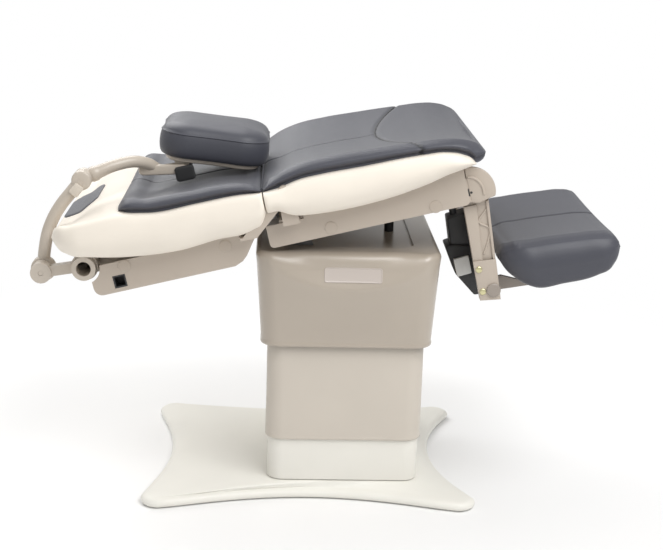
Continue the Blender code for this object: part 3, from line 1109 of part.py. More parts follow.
cut(leg_rod,
    block((leg_yoke_u - LEG_YOKE_SLOT[0] / 2, LEG_DRIVE_Y - LEG_YOKE[1], LEG_PIN_W - LEG_YOKE_SLOT[1] / 2),
                   (leg_yoke_u + LEG_YOKE_SLOT[0] / 2, LEG_DRIVE_Y + LEG_YOKE[1],
                    LEG_PIN_W + LEG_YOKE_SLOT[1] / 2)))

# Foot pad: shaft, two arms, a plate and the cushion that they carry
shaft_half = leg_out + SEAT_GAP + LEG_BRACKET_THICK
piece("foot_shaft", rod((FOOT_U, FOOT_W), "Y", -shaft_half, shaft_half, FOOT_SHAFT_RADIUS), "foot_axis",
      STEEL)
foot_underside = [(FOOT_U + du, w) for du, w in FOOT_UNDERSIDE]
plate_top = min(curve_at(foot_underside, u) for u in np.linspace(*FOOT_PLATE_SPAN, 9)) - SEAT_GAP
plate_bottom = plate_top - FOOT_PLATE_THICK
for side_name, sign in (("near", -1), ("far", 1)):
    low_y = sign * FOOT_ARM_Y - FOOT_ARM_THICK / 2
    high_y = low_y + FOOT_ARM_THICK
    outline = arc_points((FOOT_U, FOOT_W), FOOT_ARM_EYE, 90, 270, 8)
    outline += [(FOOT_ARM_REACH, plate_bottom - 0.012), (FOOT_ARM_REACH, plate_bottom - SEAT_GAP),
                (FOOT_PLATE_SPAN[0] - 0.014, plate_bottom - SEAT_GAP),
                (FOOT_U + 0.030, FOOT_W + FOOT_ARM_EYE)]
    arm = piece("foot_arm_" + side_name, across(outline, low_y, high_y), "foot_axis", ARM_PAINT)
    cut(arm, rod((FOOT_U, FOOT_W), "Y", -TABLE_WIDTH, TABLE_WIDTH, FOOT_SHAFT_RADIUS + SEAT_GAP))
piece("foot_plate",
      block((FOOT_PLATE_SPAN[0], -FOOT_PLATE_HALF, plate_bottom),
            (FOOT_PLATE_SPAN[1], FOOT_PLATE_HALF, plate_top)),
      "foot_axis", ARM_PAINT)


def foot_ring(u, low, high, half):
    """Section of the foot pad: sides drawn in between two welted edges, crowned top with a centre seam."""
    height = high - low
    right = [(half - 0.050, low), (half - 0.012, low + 0.02 * height), (half - 0.002, low + 0.12 * height),
             (half - 0.007, low + 0.40 * height), (half - 0.004, low + 0.68 * height),
             (half, low + 0.86 * height), (half - 0.008, low + 0.98 * height)]
    fade = min(1.0, height / 0.080)
    for share in (0.92, 0.80, 0.60, 0.40, 0.20):
        right.append((half * share, high + 0.006 * fade * (1.0 - share**2)))
    middle = high + 0.006 * fade
    right += [(SEAM_WIDTH, middle), (0.35 * SEAM_WIDTH, middle - 0.8 * SEAM_DEPTH * fade)]
    ring = right + [(0.0, middle - SEAM_DEPTH * fade)] + [(-y, w) for y, w in right[::-1]] + [(0.0, low)]
    return [(u, y, w) for y, w in ring]


foot_rings = []
foot_top = [(FOOT_U + du, w) for du, w in FOOT_TOP]
for u in [FOOT_U + du for du in FOOT_STATIONS]:
    near_end = max(0.0, 1.0 - (u - foot_top[0][0] + 0.0005) / FOOT_CORNER)
    far_end = max(0.0, 1.0 - (foot_top[-1][0] + 0.0005 - u) / FOOT_TOE_REACH)
    half = FOOT_HALF - FOOT_CORNER * (1 - math.sqrt(1 - near_end**2))
    half -= FOOT_TOE_DRAW * (1 - math.sqrt(1 - far_end**2))
    foot_rings.append(foot_ring(u, curve_at(foot_underside, u), curve_at(foot_top, u), half))
piece("foot_pad", loft(foot_rings), "foot_axis", GREY)
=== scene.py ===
import math

import bmesh
import bpy
import numpy as np
from mathutils import Matrix, Vector


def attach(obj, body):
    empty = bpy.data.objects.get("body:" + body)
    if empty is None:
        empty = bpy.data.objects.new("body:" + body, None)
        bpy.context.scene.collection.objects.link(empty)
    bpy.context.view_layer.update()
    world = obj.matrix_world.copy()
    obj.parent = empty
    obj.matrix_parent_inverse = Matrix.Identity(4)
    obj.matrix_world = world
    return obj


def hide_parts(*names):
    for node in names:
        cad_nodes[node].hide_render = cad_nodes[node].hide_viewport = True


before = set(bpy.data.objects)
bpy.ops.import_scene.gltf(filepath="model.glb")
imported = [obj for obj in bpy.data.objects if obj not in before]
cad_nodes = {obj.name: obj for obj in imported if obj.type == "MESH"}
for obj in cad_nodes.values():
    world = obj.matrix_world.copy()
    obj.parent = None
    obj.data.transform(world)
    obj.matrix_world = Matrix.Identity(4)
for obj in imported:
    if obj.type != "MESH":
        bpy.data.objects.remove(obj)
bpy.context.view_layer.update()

scene = bpy.context.scene

# Viewpoint: a long lens at the near side, a little above the seat and looking down on the table.
# The camera leans slightly to one side, so the floor drops to the right of the picture.
yaw, pitch, roll = (math.radians(angle) for angle in (2.37, 15.35, -1.69))
camera_place = Vector((-0.091, -3.469, 1.457))
sensor_width, picture_pixels, focal_pixels = 36.0, 663.0, 1400.0
look = Vector((math.sin(yaw) * math.cos(pitch), math.cos(yaw) * math.cos(pitch), -math.sin(pitch)))
level_right = Vector((math.cos(yaw), -math.sin(yaw), 0.0))
level_down = look.cross(level_right)
picture_right = math.cos(roll) * level_right + math.sin(roll) * level_down
picture_down = -math.sin(roll) * level_right + math.cos(roll) * level_down
camera_data = bpy.data.cameras.new("camera")
camera_data.sensor_width = sensor_width
camera_data.sensor_fit = "HORIZONTAL"
camera_data.lens = sensor_width * focal_pixels / picture_pixels
camera = bpy.data.objects.new("camera", camera_data)
scene.collection.objects.link(camera)
camera.matrix_world = Matrix((
    (picture_right.x, -picture_down.x, -look.x, camera_place.x),
    (picture_right.y, -picture_down.y, -look.y, camera_place.y),
    (picture_right.z, -picture_down.z, -look.z, camera_place.z),
    (0.0, 0.0, 0.0, 1.0)))
scene.camera = camera
scene.view_settings.view_transform = "Standard"

# Studio: a white floor under two soft boxes and an even white room.
# The floor is matt paint near the table, so it keeps the shadow, and runs out to clean white further off.


def adjusted(node, **values):
    """Sets inputs of a shader node; an underscore in an input's name stands for a space."""
    for name, value in values.items():
        node.inputs[name.replace("_", " ")].default_value = value
    return node


def added(tree, kind, **values):
    """New shader node with some inputs set."""
    return adjusted(tree.nodes.new("ShaderNode" + kind), **values)


def wire(source, output, target, entry):
    """Links an output of one shader node to an input of another."""
    source.id_data.links.new(source.outputs[output], target.inputs[entry])


def new_surface(name, **values):
    """New material, with its node tree and its surface node, some of whose inputs are set."""
    material = bpy.data.materials.new(name)
    material.use_nodes = True
    tree = material.node_tree
    return material, tree, adjusted(tree.nodes["Principled BSDF"], **values)


room = bpy.data.worlds.new("room")
scene.world = room
room.use_nodes = True
room_tree = room.node_tree
room_light = adjusted(room_tree.nodes["Background"], Color=(1.0, 0.995, 0.985, 1.0), Strength=0.62)
room_white = added(room_tree, "Background", Color=(1.0, 1.0, 1.0, 1.0), Strength=1.0)
room_path = added(room_tree, "LightPath")
room_choice = added(room_tree, "MixShader")
wire(room_path, "Is Camera Ray", room_choice, 0)
wire(room_light, 0, room_choice, 1)
wire(room_white, 0, room_choice, 2)
wire(room_choice, 0, room_tree.nodes["World Output"], 0)

floor_form = bmesh.new()
bmesh.ops.create_grid(floor_form, x_segments=8, y_segments=8, size=40.0)
floor_mesh = bpy.data.meshes.new("floor")
floor_form.to_mesh(floor_mesh)
floor_form.free()
floor = bpy.data.objects.new("floor", floor_mesh)
scene.collection.objects.link(floor)
floor_paint, floor_tree, matt = new_surface("floor_paint", Base_Color=(0.90, 0.90, 0.90, 1.0), Roughness=0.9,
                                            Specular_IOR_Level=0.0)
clean = added(floor_tree, "Emission", Strength=1.0)
place = added(floor_tree, "TexCoord")
away = added(floor_tree, "VectorMath")
away.operation = "LENGTH"
reach = added(floor_tree, "MapRange", From_Min=0.75, From_Max=1.9)
reach.interpolation_type = "SMOOTHSTEP"
seen = added(floor_tree, "LightPath")
both = added(floor_tree, "Math")
both.operation = "MULTIPLY"
blend = added(floor_tree, "MixShader")
wire(place, "Object", away, 0)
wire(away, "Value", reach, "Value")
wire(reach, "Result", both, 0)
wire(seen, "Is Camera Ray", both, 1)
wire(both, 0, blend, 0)
wire(matt, 0, blend, 1)
wire(clean, 0, blend, 2)
wire(blend, 0, floor_tree.nodes["Material Output"], "Surface")
floor_mesh.materials.append(floor_paint)

light_target = Vector((0.0, 0.0, 0.55))
for light_name, spot, width, power in (("key_box", (1.3, -1.9, 3.2), 2.2, 85.0),
                                       ("back_box", (-1.2, 1.6, 2.8), 2.4, 60.0)):
    light_data = bpy.data.lights.new(light_name, "AREA")
    light_data.size = width
    light_data.energy = power
    light = bpy.data.objects.new(light_name, light_data)
    scene.collection.objects.link(light)
    light.location = spot
    light.rotation_euler = (light_target - Vector(spot)).to_track_quat("-Z", "Y").to_euler()

# Base cover: one white moulding with four short arms between hollow sides and a soft rounded rim, clipped
# over the steel base. It rises gently to the foot of the column and is open there.


def rounded_outline(half_x, half_y, corner, waist_x=0.0, waist_y=0.0, arc=14, side=16):
    """Closed outline of a rounded rectangle whose sides may be drawn in."""
    points = []
    for turn, (sx, sy) in enumerate(((1, 1), (-1, 1), (-1, -1), (1, -1))):
        centre_x, centre_y = sx * (half_x - corner), sy * (half_y - corner)
        for i in range(arc + 1):
            a = math.pi / 2 * (turn + i / arc)
            points.append((centre_x + corner * math.cos(a), centre_y + corner * math.sin(a)))
        along_x = turn % 2 == 0
        start = points[-1]
        nx, ny = ((-1, 1), (-1, -1), (1, -1), (1, 1))[turn]
        end = (nx * (half_x - corner), sy * half_y) if along_x else (sx * half_x, ny * (half_y - corner))
        for i in range(1, side + 1):
            t = i / (side + 1)
            x = start[0] + (end[0] - start[0]) * t
            y = start[1] + (end[1] - start[1]) * t
            draw = (4.0 * t * (1.0 - t))**1.25
            points.append((x, y - sy * waist_y * draw) if along_x else (x - sx * waist_x * draw, y))
    return points


def skin(name, rings, ends="capped"):
    """Mesh object over rings of equal count, which are capped at both ends or joined into a closed band."""
    count = len(rings[0])
    form = bmesh.new()
    corners = [form.verts.new(tuple(p)) for ring in rings for p in ring]
    for r in range(len(rings) if ends == "joined" else len(rings) - 1):
        a, b = r * count, ((r + 1) % len(rings)) * count
        for i in range(count):
            j = (i + 1) % count
            form.faces.new((corners[a + i], corners[a + j], corners[b + j], corners[b + i]))
    if ends == "capped":
        form.faces.new(corners[:count])
        form.faces.new(corners[-count:])
    return shown(name, form)


def shown(name, form, sharp=40.0):
    """Mesh object from a finished bmesh, smooth but for edges sharper than an angle in degrees."""
    bmesh.ops.recalc_face_normals(form, faces=form.faces)
    mesh = bpy.data.meshes.new(name)
    form.to_mesh(mesh)
    form.free()
    mesh.shade_smooth()
    mesh.set_sharp_from_angle(angle=math.radians(sharp))
    piece = bpy.data.objects.new(name, mesh)
    scene.collection.objects.link(piece)
    return piece


def colour_mix(amount, output, first, second):
    """Node that blends a colour, or another such node's colour, into a second by an output of amount."""
    mix = added(amount.id_data, "Mix")
    mix.data_type = "RGBA"
    wire(amount, output, mix, "Factor")
    if isinstance(first, list):
        mix.inputs["A"].default_value = first + [1.0]
    else:
        wire(first, "Result", mix, "A")
    mix.inputs["B"].default_value = second + [1.0]
    return mix


def finish(name, colour, roughness, grain, relief, mottle=0.04, metal=0.0, stretch=(1.0, 1.0, 1.0), coat=0.0):
    """Painted, moulded or metal surface: mottled colour, fine relief, uneven gloss and rubbed edges."""
    material, tree, surface = new_surface(name, Metallic=metal, Coat_Weight=coat, Coat_Roughness=0.25)
    where = added(tree, "TexCoord")
    stretched = added(tree, "Mapping", Scale=stretch)
    wire(where, "Object", stretched, "Vector")
    cloud = added(tree, "TexNoise", Scale=7.0, Detail=4.0)
    wire(where, "Object", cloud, "Vector")
    darker = [c * (1.0 - mottle) for c in colour]
    lighter = [min(1.0, c * (1.0 + mottle)) for c in colour]
    tint = colour_mix(cloud, "Fac", darker, lighter)
    edge = added(tree, "NewGeometry")
    rub = added(tree, "MapRange", From_Min=0.52, From_Max=0.60, To_Max=0.10)
    wire(edge, "Pointiness", rub, "Value")
    rubbed = colour_mix(rub, "Result", tint, [min(1.0, 0.25 + 0.85 * c) for c in colour])
    wire(rubbed, "Result", surface, "Base Color")
    speck = added(tree, "TexNoise", Scale=grain, Detail=3.0)
    wire(stretched, "Vector", speck, "Vector")
    uneven = 0.06
    gloss = added(tree, "MapRange", To_Min=max(0.05, roughness - uneven), To_Max=min(1.0, roughness + uneven))
    wire(cloud, "Fac", gloss, "Value")
    wire(gloss, "Result", surface, "Roughness")
    bump = added(tree, "Bump", Strength=relief, Distance=0.0006)
    wire(speck, "Fac", bump, "Height")
    wire(bump, "Normal", surface, "Normal")
    return material


def fitted(piece, body, slot, material, *stands_for):
    """Paints a new piece, hangs it on its body and hides the CAD nodes it stands for."""
    piece.data.materials.append(material)
    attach(piece, body)
    if stands_for:
        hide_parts(*stands_for)


def painted(material, *names):
    """Gives a material to CAD nodes that show as they are."""
    for name in names:
        mesh = cad_nodes[name].data
        mesh.materials.clear()
        mesh.materials.append(material)


base_white = finish("base_white", (0.80, 0.785, 0.725), 0.42, 900.0, 0.10)
base_half_x, base_half_y, base_corner = 0.411, 0.340, 0.046
base_waist_x, base_waist_y = 0.055, 0.072
foot_hollow, hollow_half = 0.050, 0.300
rim_height, shoulder_height = 0.0252, 0.0400
column_x = 0.0835


def base_line(inset, height):
    """Outline of the base, hollowed a little more on the side towards the foot end."""
    ring = []
    for x, y in rounded_outline(base_half_x - inset, base_half_y - inset, base_corner - inset, base_waist_x,
                                base_waist_y):
        foot_side = foot_hollow * max(0.0, x / base_half_x)**3 * max(0.0, 1.0 - (y / hollow_half)**2)
        ring.append((x - foot_side, y, height))
    return ring


def column_line(half_x, half_y, corner, height):
    """Rounded rectangle about the column's axis at a height."""
    return [(x + column_x, y, height) for x, y in rounded_outline(half_x, half_y, corner)]


def between(ring_a, ring_b, share, height):
    """Ring part of the way from one ring to another, laid at a height."""
    return [(a[0] + (b[0] - a[0]) * share, a[1] + (b[1] - a[1]) * share, height)
            for a, b in zip(ring_a, ring_b)]


rim_profile = ((0.0120, 0.0030), (0.0045, 0.0034), (0.0012, 0.0060), (0.0, 0.0105), (0.0006, 0.0150),
               (0.0035, 0.0195), (0.0085, 0.0228), (0.0160, rim_height))
base_rings = [base_line(inset, height) for inset, height in rim_profile]
rim_line = base_rings[-1]
shoulder_line = column_line(0.2050, 0.2480, 0.042, shoulder_height)
for t in (0.12, 0.3, 0.5, 0.7, 0.87, 1.0):
    height = rim_height + (shoulder_height - rim_height) * t**1.3
    base_rings.append(between(rim_line, shoulder_line, t, height))
base_rings += [column_line(0.1725, 0.230, 0.038, 0.042), column_line(0.1575, 0.215, 0.036, 0.042),
               column_line(0.1575, 0.215, 0.036, 0.038), column_line(0.2010, 0.244, 0.042, 0.0362)]
base_rings += [between(rim_line, shoulder_line, t, z) for t, z in ((0.6, 0.0285), (0.2, 0.0222))]
base_rings += [base_line(0.0185, 0.0200), base_line(0.0185, 0.0030)]
base_cover = skin("base_cover", base_rings, "joined")
fitted(base_cover, "base", "white_plastic", base_white, "base_cover")

# Base frame and lift: a painted steel plate carries three telescoping steel tubes, the gear motor
# and the control box, all inside the covers.
frame_grey = finish("frame_grey", (0.20, 0.20, 0.205), 0.45, 420.0, 0.18)
drawn_steel = finish("drawn_steel", (0.56, 0.56, 0.57), 0.30, 260.0, 0.10, metal=1.0,
                     stretch=(1.0, 1.0, 0.05))
black_moulding = finish("black_moulding", (0.018, 0.018, 0.019), 0.48, 1100.0, 0.25, mottle=0.15)
frame_rings = []
for inset, height in ((0.0300, 0.0), (0.0255, 0.0), (0.0240, 0.0008), (0.0236, 0.0020), (0.0236, 0.0100),
                      (0.0246, 0.0118), (0.0260, 0.0124), (0.0300, 0.0124)):
    frame_rings.append(base_line(inset, height))
fitted(skin("base_frame", frame_rings), "base", "frame_paint", frame_grey, "base_frame")
painted(drawn_steel, "lift_outer_tube", "lift_middle_tube", "lift_inner_tube")
painted(black_moulding, "lift_motor", "control_box")

# Column covers: two plain boxes of moulded plastic that slide over one another, with a thin lip
# along the lower edge of the upper one.
lower_white = finish("lower_white", (0.755, 0.735, 0.675), 0.40, 900.0, 0.10)
stone_plastic = finish("stone_plastic", (0.550, 0.500, 0.435), 0.40, 900.0, 0.10)
wall = 0.004


def box_cover(name, half_x, half_y, corner, low, high, lip):
    """Open box whose lower edge stands out as a rounded lip, by a share of its full size."""
    profile = [(wall - 0.0008, low), (wall - 0.0030, low + 0.0003), (-0.0006 * lip, low + 0.0012),
               (-0.0014 * lip, low + 0.0030), (-0.0014 * lip, low + 0.0055), (-0.0005 * lip, low + 0.0080),
               (0.0, low + 0.0105), (0.0, high - 0.002), (0.0006, high - 0.0006), (0.002, high),
               (wall, high - 0.001), (wall, low + 0.002)]
    rings = [column_line(half_x - inset, half_y - inset, corner - inset, height) for inset, height in profile]
    return skin(name, rings, "joined")


lower_cover = box_cover("lower_cover", 0.1875, 0.245, 0.038, 0.0424, 0.215, 0.0)
fitted(lower_cover, "base", "white_plastic", lower_white, "lower_cover")
middle_cover = box_cover("middle_cover", 0.1921, 0.2496, 0.0426, 0.150, 0.440, 1.0)
fitted(middle_cover, "cover_stage", "stone_plastic", stone_plastic, "middle_cover")

# Upper shroud: a taupe moulding on the carriage, a little wider at the top, with a broad rounded shoulder.
# Its long sides lean out to a curved line and roll back above it, which leaves a crescent on each.
# A bare silver plate is bonded into the near crescent.
taupe_plastic = finish("taupe_plastic", (0.405, 0.352, 0.292), 0.34, 900.0, 0.10, coat=0.55)
painted(taupe_plastic, "carriage_plate")
shroud_low, shroud_top, shroud_edge, shroud_corner = 0.394, 0.630, 0.034, 0.044
shroud_half_x, shroud_half_y, flare_x, flare_y = 0.207, 0.262, 0.0155, 0.006
crescent_half, lean_start, lean_out, corner_run = 0.205, 0.405, 0.018, 0.030


def flared(height):
    """Half length and half width of the shroud's plain faces at a height."""
    t = (height - shroud_low) / (shroud_top - shroud_low)
    return shroud_half_x + flare_x * t, shroud_half_y + flare_y * t


def lean(x, height):
    """How far a long side of the shroud stands out from a plain face."""
    across = (x - column_x) / crescent_half
    line = 0.545 + 0.058 * across**2 + 0.025 * across**6
    out = lean_out * min(1.0, max(0.0, (height - lean_start) / (line - lean_start)))
    rise = max(0.0, height - line)
    return (out - 0.45 * rise + 1.9 * rise * rise) * max(0.0, 1.0 - across**4)


def long_side(y, half_y):
    """1 on the long sides of the shroud, falling to 0 round its corners."""
    return min(1.0, max(0.0, (abs(y) - half_y + corner_run) / corner_run))


def shroud_line(height, inset, leaning=1.0):
    """Ring round the shroud at a height; the inner rings don't lean."""
    half_x, half_y = (half - inset for half in flared(height))
    ring = []
    for x, y, z in column_line(half_x, half_y, shroud_corner - min(inset, 0.036), height):
        ring.append((x, y + math.copysign(lean(x, height) * long_side(y, half_y) * leaning, y), z))
    return ring


def shroud_shoulder(turn):
    """Ring of the rounded shoulder at an angle: a broad roll over the long sides, tighter at the corners."""
    full_x, full_y = flared(shroud_top)
    top_line = column_line(full_x - shroud_edge, full_y - shroud_edge, shroud_corner - shroud_edge, 0.0)
    face_line = column_line(full_x, full_y, shroud_corner, 0.0)
    ring = []
    for (top_x, top_y, z), (face_x, face_y, z) in zip(top_line, face_line):
        facing = long_side(face_y, full_y)
        across = (face_x - column_x) / crescent_half
        size = 0.40 + 0.60 * facing * max(0.0, 1.0 - across**4)
        height = shroud_top - shroud_edge * size * (1.0 - math.sin(turn))
        inward = size * (1.0 - math.cos(turn))
        out = math.copysign(lean(face_x, height) * facing, face_y)
        ring.append((face_x + (top_x - face_x) * inward, face_y + (top_y - face_y) * inward + out, height))
    return ring


shroud_rings = []
for inset, height in ((0.0032, 0.394), (0.0010, 0.3943), (-0.0010, 0.3955), (-0.0018, 0.398),
                      (-0.0016, 0.402), (-0.0004, 0.405), (0.0, 0.408), (0.0, 0.44), (0.0, 0.47),
                      (0.0, 0.50)):
    shroud_rings.append(shroud_line(height, inset))
face_start, face_end, face_steps, edge_steps = 0.510, 0.596, 17, 8
for step in range(face_steps):
    shroud_rings.append(shroud_line(face_start + (face_end - face_start) * step / face_steps, 0.0))
for step in range(edge_steps + 1):
    shroud_rings.append(shroud_shoulder(math.pi / 2 * step / edge_steps))
mouth_line = column_line(0.1604, 0.203, 0.038, shroud_top)
inner_top, inner_edge, inner_steps = 0.6245, 0.030, 5
shroud_rings += [mouth_line, [(x, y, inner_top) for x, y, z in mouth_line]]
for step in range(inner_steps, -1, -1):
    a = math.pi / 2 * step / inner_steps
    height = inner_top - inner_edge * (1.0 - math.sin(a))
    shroud_rings.append(shroud_line(height, wall + inner_edge * (1.0 - math.cos(a)), 0.0))
shroud_rings += [shroud_line(0.500, wall, 0.0), shroud_line(0.396, wall, 0.0)]
upper_shroud = skin("upper_shroud", shroud_rings, "joined")
fitted(upper_shroud, "carriage", "taupe_plastic", taupe_plastic, "upper_shroud")

plate_silver = finish("plate_silver", (0.500, 0.445, 0.405), 0.30, 700.0, 0.06, coat=0.2)
plate_x, plate_z = 0.0935, 0.579
plate_half_x, plate_half_z, plate_corner = 0.069, 0.017, 0.006


def plate_face(x, z, proud):
    """Point on the near long side of the shroud, a little proud of it."""
    return (x, -flared(z)[1] - lean(x, z) - proud, z)


plate_rings = []
for inset, proud in ((0.0, -0.0012), (0.0, 0.0012), (0.0005, 0.0018), (0.0016, 0.0018), (0.0022, 0.0010),
                     (0.0040, 0.0008), (0.012, 0.0009)):
    outline = rounded_outline(plate_half_x - inset, plate_half_z - inset, max(plate_corner - inset, 0.0015),
                              arc=5, side=8)
    plate_rings.append([plate_face(plate_x + x, plate_z + z, proud) for x, z in outline])
badge_plate = skin("badge_plate", plate_rings)
fitted(badge_plate, "carriage", "arm_paint", plate_silver, "badge_plate")

# Tilt gear: two painted brackets on the carriage hold the seat's shaft, and an upright drive beside the lift
# pushes the seat's front pin. It shows only as a dark gap under the seat. The seat's lugs and the leg shaft
# are painted here too.
painted(frame_grey, "tilt_bracket_near", "tilt_bracket_far", "back_lug", "leg_lug")
# Painted shade: the tilt rod is black for the shaded gap under the seat, the leg shaft for the hood's pin
# hole.
painted(black_moulding, "tilt_actuator", "tilt_rod", "leg_shaft")
painted(drawn_steel, "tilt_shaft", "tilt_pin")

# Seat side covers: flat taupe plates clipped over the sides of the seat tray by two round caps each.
# The plates are the CAD nodes; the caps are shallow turned discs.
tilt_angle = math.radians(14.0)
table = Matrix.Translation((-0.105, 0.0, 0.700)) @ Matrix.Rotation(-tilt_angle, 4, "Y")
cover_taupe = finish("cover_taupe", (0.455, 0.392, 0.328), 0.42, 900.0, 0.10)
painted(cover_taupe, "seat_cover_near", "seat_cover_far", "seat_frame", "hinge_pin_near", "hinge_pin_far")


def turned(name, stations, centre, sides=32):
    """Round piece about a centre line across the table, from (place, radius) stations."""
    angles = [2 * math.pi * i / sides for i in range(sides)]
    rings = []
    for along, radius in stations:
        rings.append([(centre[0] + radius * math.cos(a), along, centre[1] + radius * math.sin(a))
                      for a in angles])
    return skin(name, rings)


def joined(name, *pieces):
    """Joins loose pieces into one object."""
    form = bmesh.new()
    for piece in pieces:
        form.from_mesh(piece.data)
        bpy.data.objects.remove(piece, do_unlink=True)
    return shown(name, form)


def on_table(piece):
    """Turns a piece drawn flat in the table's own frame into its place at rest."""
    piece.data.transform(table)
    return piece


def button(name, sign, profile, spot, sides=32):
    """Turned piece on one side of the table, from pairs of a distance from the middle and a radius."""
    return turned(name, [(sign * out, radius) for out, radius in profile], spot, sides)


def caps(name, sign, face, spots):
    """Round caps on a face of one side of the table."""
    profile = ((face - 0.0006, 0.0150), (face + 0.0010, 0.0150), (face + 0.0016, 0.0142),
               (face + 0.0018, 0.0120), (face + 0.0018, 0.0040))
    return on_table(joined(name, *[button("cap", sign, profile, spot) for spot in spots]))


both_sides = (("near", -1), ("far", 1))
for side_name, sign in both_sides:
    seat_caps = caps("seat_caps_" + side_name, sign, 0.2664, ((0.136, -0.042), (0.387, -0.047)))
    fitted(seat_caps, "seat", "taupe_plastic", cover_taupe)

# Seat shell: the cream upholstered body of the seat, vinyl pulled over foam, full at the sides and
# drawn in towards the front. It is sculpted here from the side lines of the CAD solid.


def line_at(points, u):
    """Height of a smooth line through given points, at one place or at many."""
    us, ws = np.array(points).T
    slopes = np.gradient(ws, us)
    i = np.clip(np.searchsorted(us, u) - 1, 0, len(us) - 2)
    span = us[i + 1] - us[i]
    t = np.clip((u - us[i]) / span, 0.0, 1.0)
    start = (2 * t**3 - 3 * t**2 + 1) * ws[i] + (t**3 - 2 * t**2 + t) * span * slopes[i]
    return start + (3 * t**2 - 2 * t**3) * ws[i + 1] + (t**3 - t**2) * span * slopes[i + 1]


def eased(points, count):
    """Points spread evenly along a smooth curve through a few given ones."""
    p = np.array(points, float)
    ends = np.vstack([2 * p[0] - p[1], p, 2 * p[-1] - p[-2]])
    fine = []
    for i in range(len(p) - 1):
        a, b, c, d = ends[i:i + 4]
        for t in np.linspace(0.0, 1.0, 12, endpoint=False):
            fine.append(0.5 * (2 * b + (c - a) * t + (2 * a - 5 * b + 4 * c - d) * t**2
                               + (3 * b - a - 3 * c + d) * t**3))
    fine.append(p[-1])
    fine = np.array(fine)
    run = np.concatenate([[0.0], np.cumsum(np.linalg.norm(np.diff(fine, axis=0), axis=1))])
    wanted = np.linspace(0.0, run[-1], count)
    return np.stack([np.interp(wanted, run, fine[:, k]) for k in range(p.shape[1])], axis=1)


def vinyl(name, colour, roughness, cell, relief, sheen):
    """Upholstery vinyl: pressed leather grain, soft creases, and painted shade in the seams, where the mesh's
    seam mark is set.
    """
    material, tree, surface = new_surface(name, Sheen_Weight=sheen, Sheen_Roughness=0.4)
    where = added(tree, "TexCoord")
    cloud = added(tree, "TexNoise", Scale=9.0, Detail=5.0)
    wire(where, "Object", cloud, "Vector")
    tint = colour_mix(cloud, "Fac", [c * 0.94 for c in colour], [min(1.0, c * 1.06) for c in colour])
    # Painted shade: the seam grooves are darkened to a sixth of the colour by the mesh's seam mark.
    seam = added(tree, "Attribute")
    seam.attribute_name = "seam"
    seam_shade = colour_mix(seam, "Fac", tint, [c * 0.16 for c in colour])
    wire(seam_shade, "Result", surface, "Base Color")
    grain = added(tree, "TexVoronoi", Scale=cell)
    grain.feature = "DISTANCE_TO_EDGE"
    wire(where, "Object", grain, "Vector")
    valley = added(tree, "MapRange", From_Max=0.18)
    wire(grain, "Distance", valley, "Value")
    gloss = added(tree, "MapRange", To_Min=roughness + 0.10, To_Max=roughness)
    wire(valley, "Result", gloss, "Value")
    wire(gloss, "Result", surface, "Roughness")
    pressed = added(tree, "Bump", Strength=relief, Distance=0.0003)
    wire(valley, "Result", pressed, "Height")
    soft = added(tree, "Bump", Strength=0.10, Distance=0.004)
    wire(cloud, "Fac", soft, "Height")
    wire(pressed, "Normal", soft, "Normal")
    wire(soft, "Normal", surface, "Normal")
    return material


cream_vinyl = vinyl("cream_vinyl", (0.800, 0.738, 0.650), 0.50, 900.0, 0.10, 0.10)
table_half, rim_inset = 0.340, 0.024
crease, seat_front = 0.0015, 0.498
seat_underside = [(crease, 0.033), (0.031, 0.031), (0.047, 0.021), (0.065, 0.013), (0.099, 0.007),
                  (0.144, 0.003), (0.232, 0.002), (0.322, 0.009), (0.383, 0.019), (0.436, 0.031),
                  (seat_front, 0.037)]
seat_rim = [(crease, 0.084), (0.046, 0.087), (0.079, 0.094), (0.146, 0.096), (0.223, 0.093), (0.377, 0.088),
            (0.435, 0.082), (0.471, 0.068), (0.491, 0.052), (seat_front, 0.040)]


def mirrored(u, right, top):
    """Closed ring across the table at u, from its right half and the height of its middle."""
    return [(u, y, w) for y, w in right] + [(u, 0.0, top)] + [(u, -y, w) for y, w in right[:0:-1]]


def shell_section(u, low, rim, half, crown):
    """Closed ring of a shell at u: flat below, full sides, rim, and a top that may be crowned."""
    tall = rim - low
    side = [(half - 0.050, low), (half - 0.022, low + 0.06 * tall), (half - 0.006, low + 0.28 * tall),
            (half, low + 0.52 * tall), (half - 0.004, low + 0.76 * tall), (half - 0.013, low + 0.93 * tall),
            (half - rim_inset, rim)]
    right = [(0.0, low), (0.4 * half, low), (0.75 * half, low)] + [tuple(p) for p in eased(side, 26)]
    for share in (0.985, 0.96, 0.93, 0.88, 0.82, 0.74, 0.64, 0.52, 0.38, 0.2):
        right.append(((half - rim_inset) * share, rim + crown * (1.0 - share**4)))
    return mirrored(u, right, rim + crown)


def drawn_in(u, ends):
    """Half width of a shell at u; each end has a place, a reach and a depth of rounding."""
    half = table_half
    for end, reach, depth in ends:
        t = max(0.0, 1.0 - abs(u - end) / reach)
        half -= depth * (1.0 - math.sqrt(max(0.0, 1.0 - t * t)))
    return half


def spread(start, end, count, pull):
    """Stations from start to end, closer together at both ends."""
    return [start + (end - start) * (t - pull * math.sin(2 * math.pi * t) / (2 * math.pi))
            for t in np.linspace(0.0, 1.0, count)]


seat_ends = [(seat_front, 0.060, 0.045), (crease, 0.012, 0.006)]
shell_sections = []
for u in spread(crease, seat_front, 64, 0.8):
    low, rim = line_at(seat_underside, u), line_at(seat_rim, u)
    shell_sections.append(shell_section(u, low, rim, drawn_in(u, seat_ends), 0.0))
seat_shell = skin("seat_shell", shell_sections)
fitted(on_table(seat_shell), "seat", "cream_vinyl", cream_vinyl, "seat_shell")
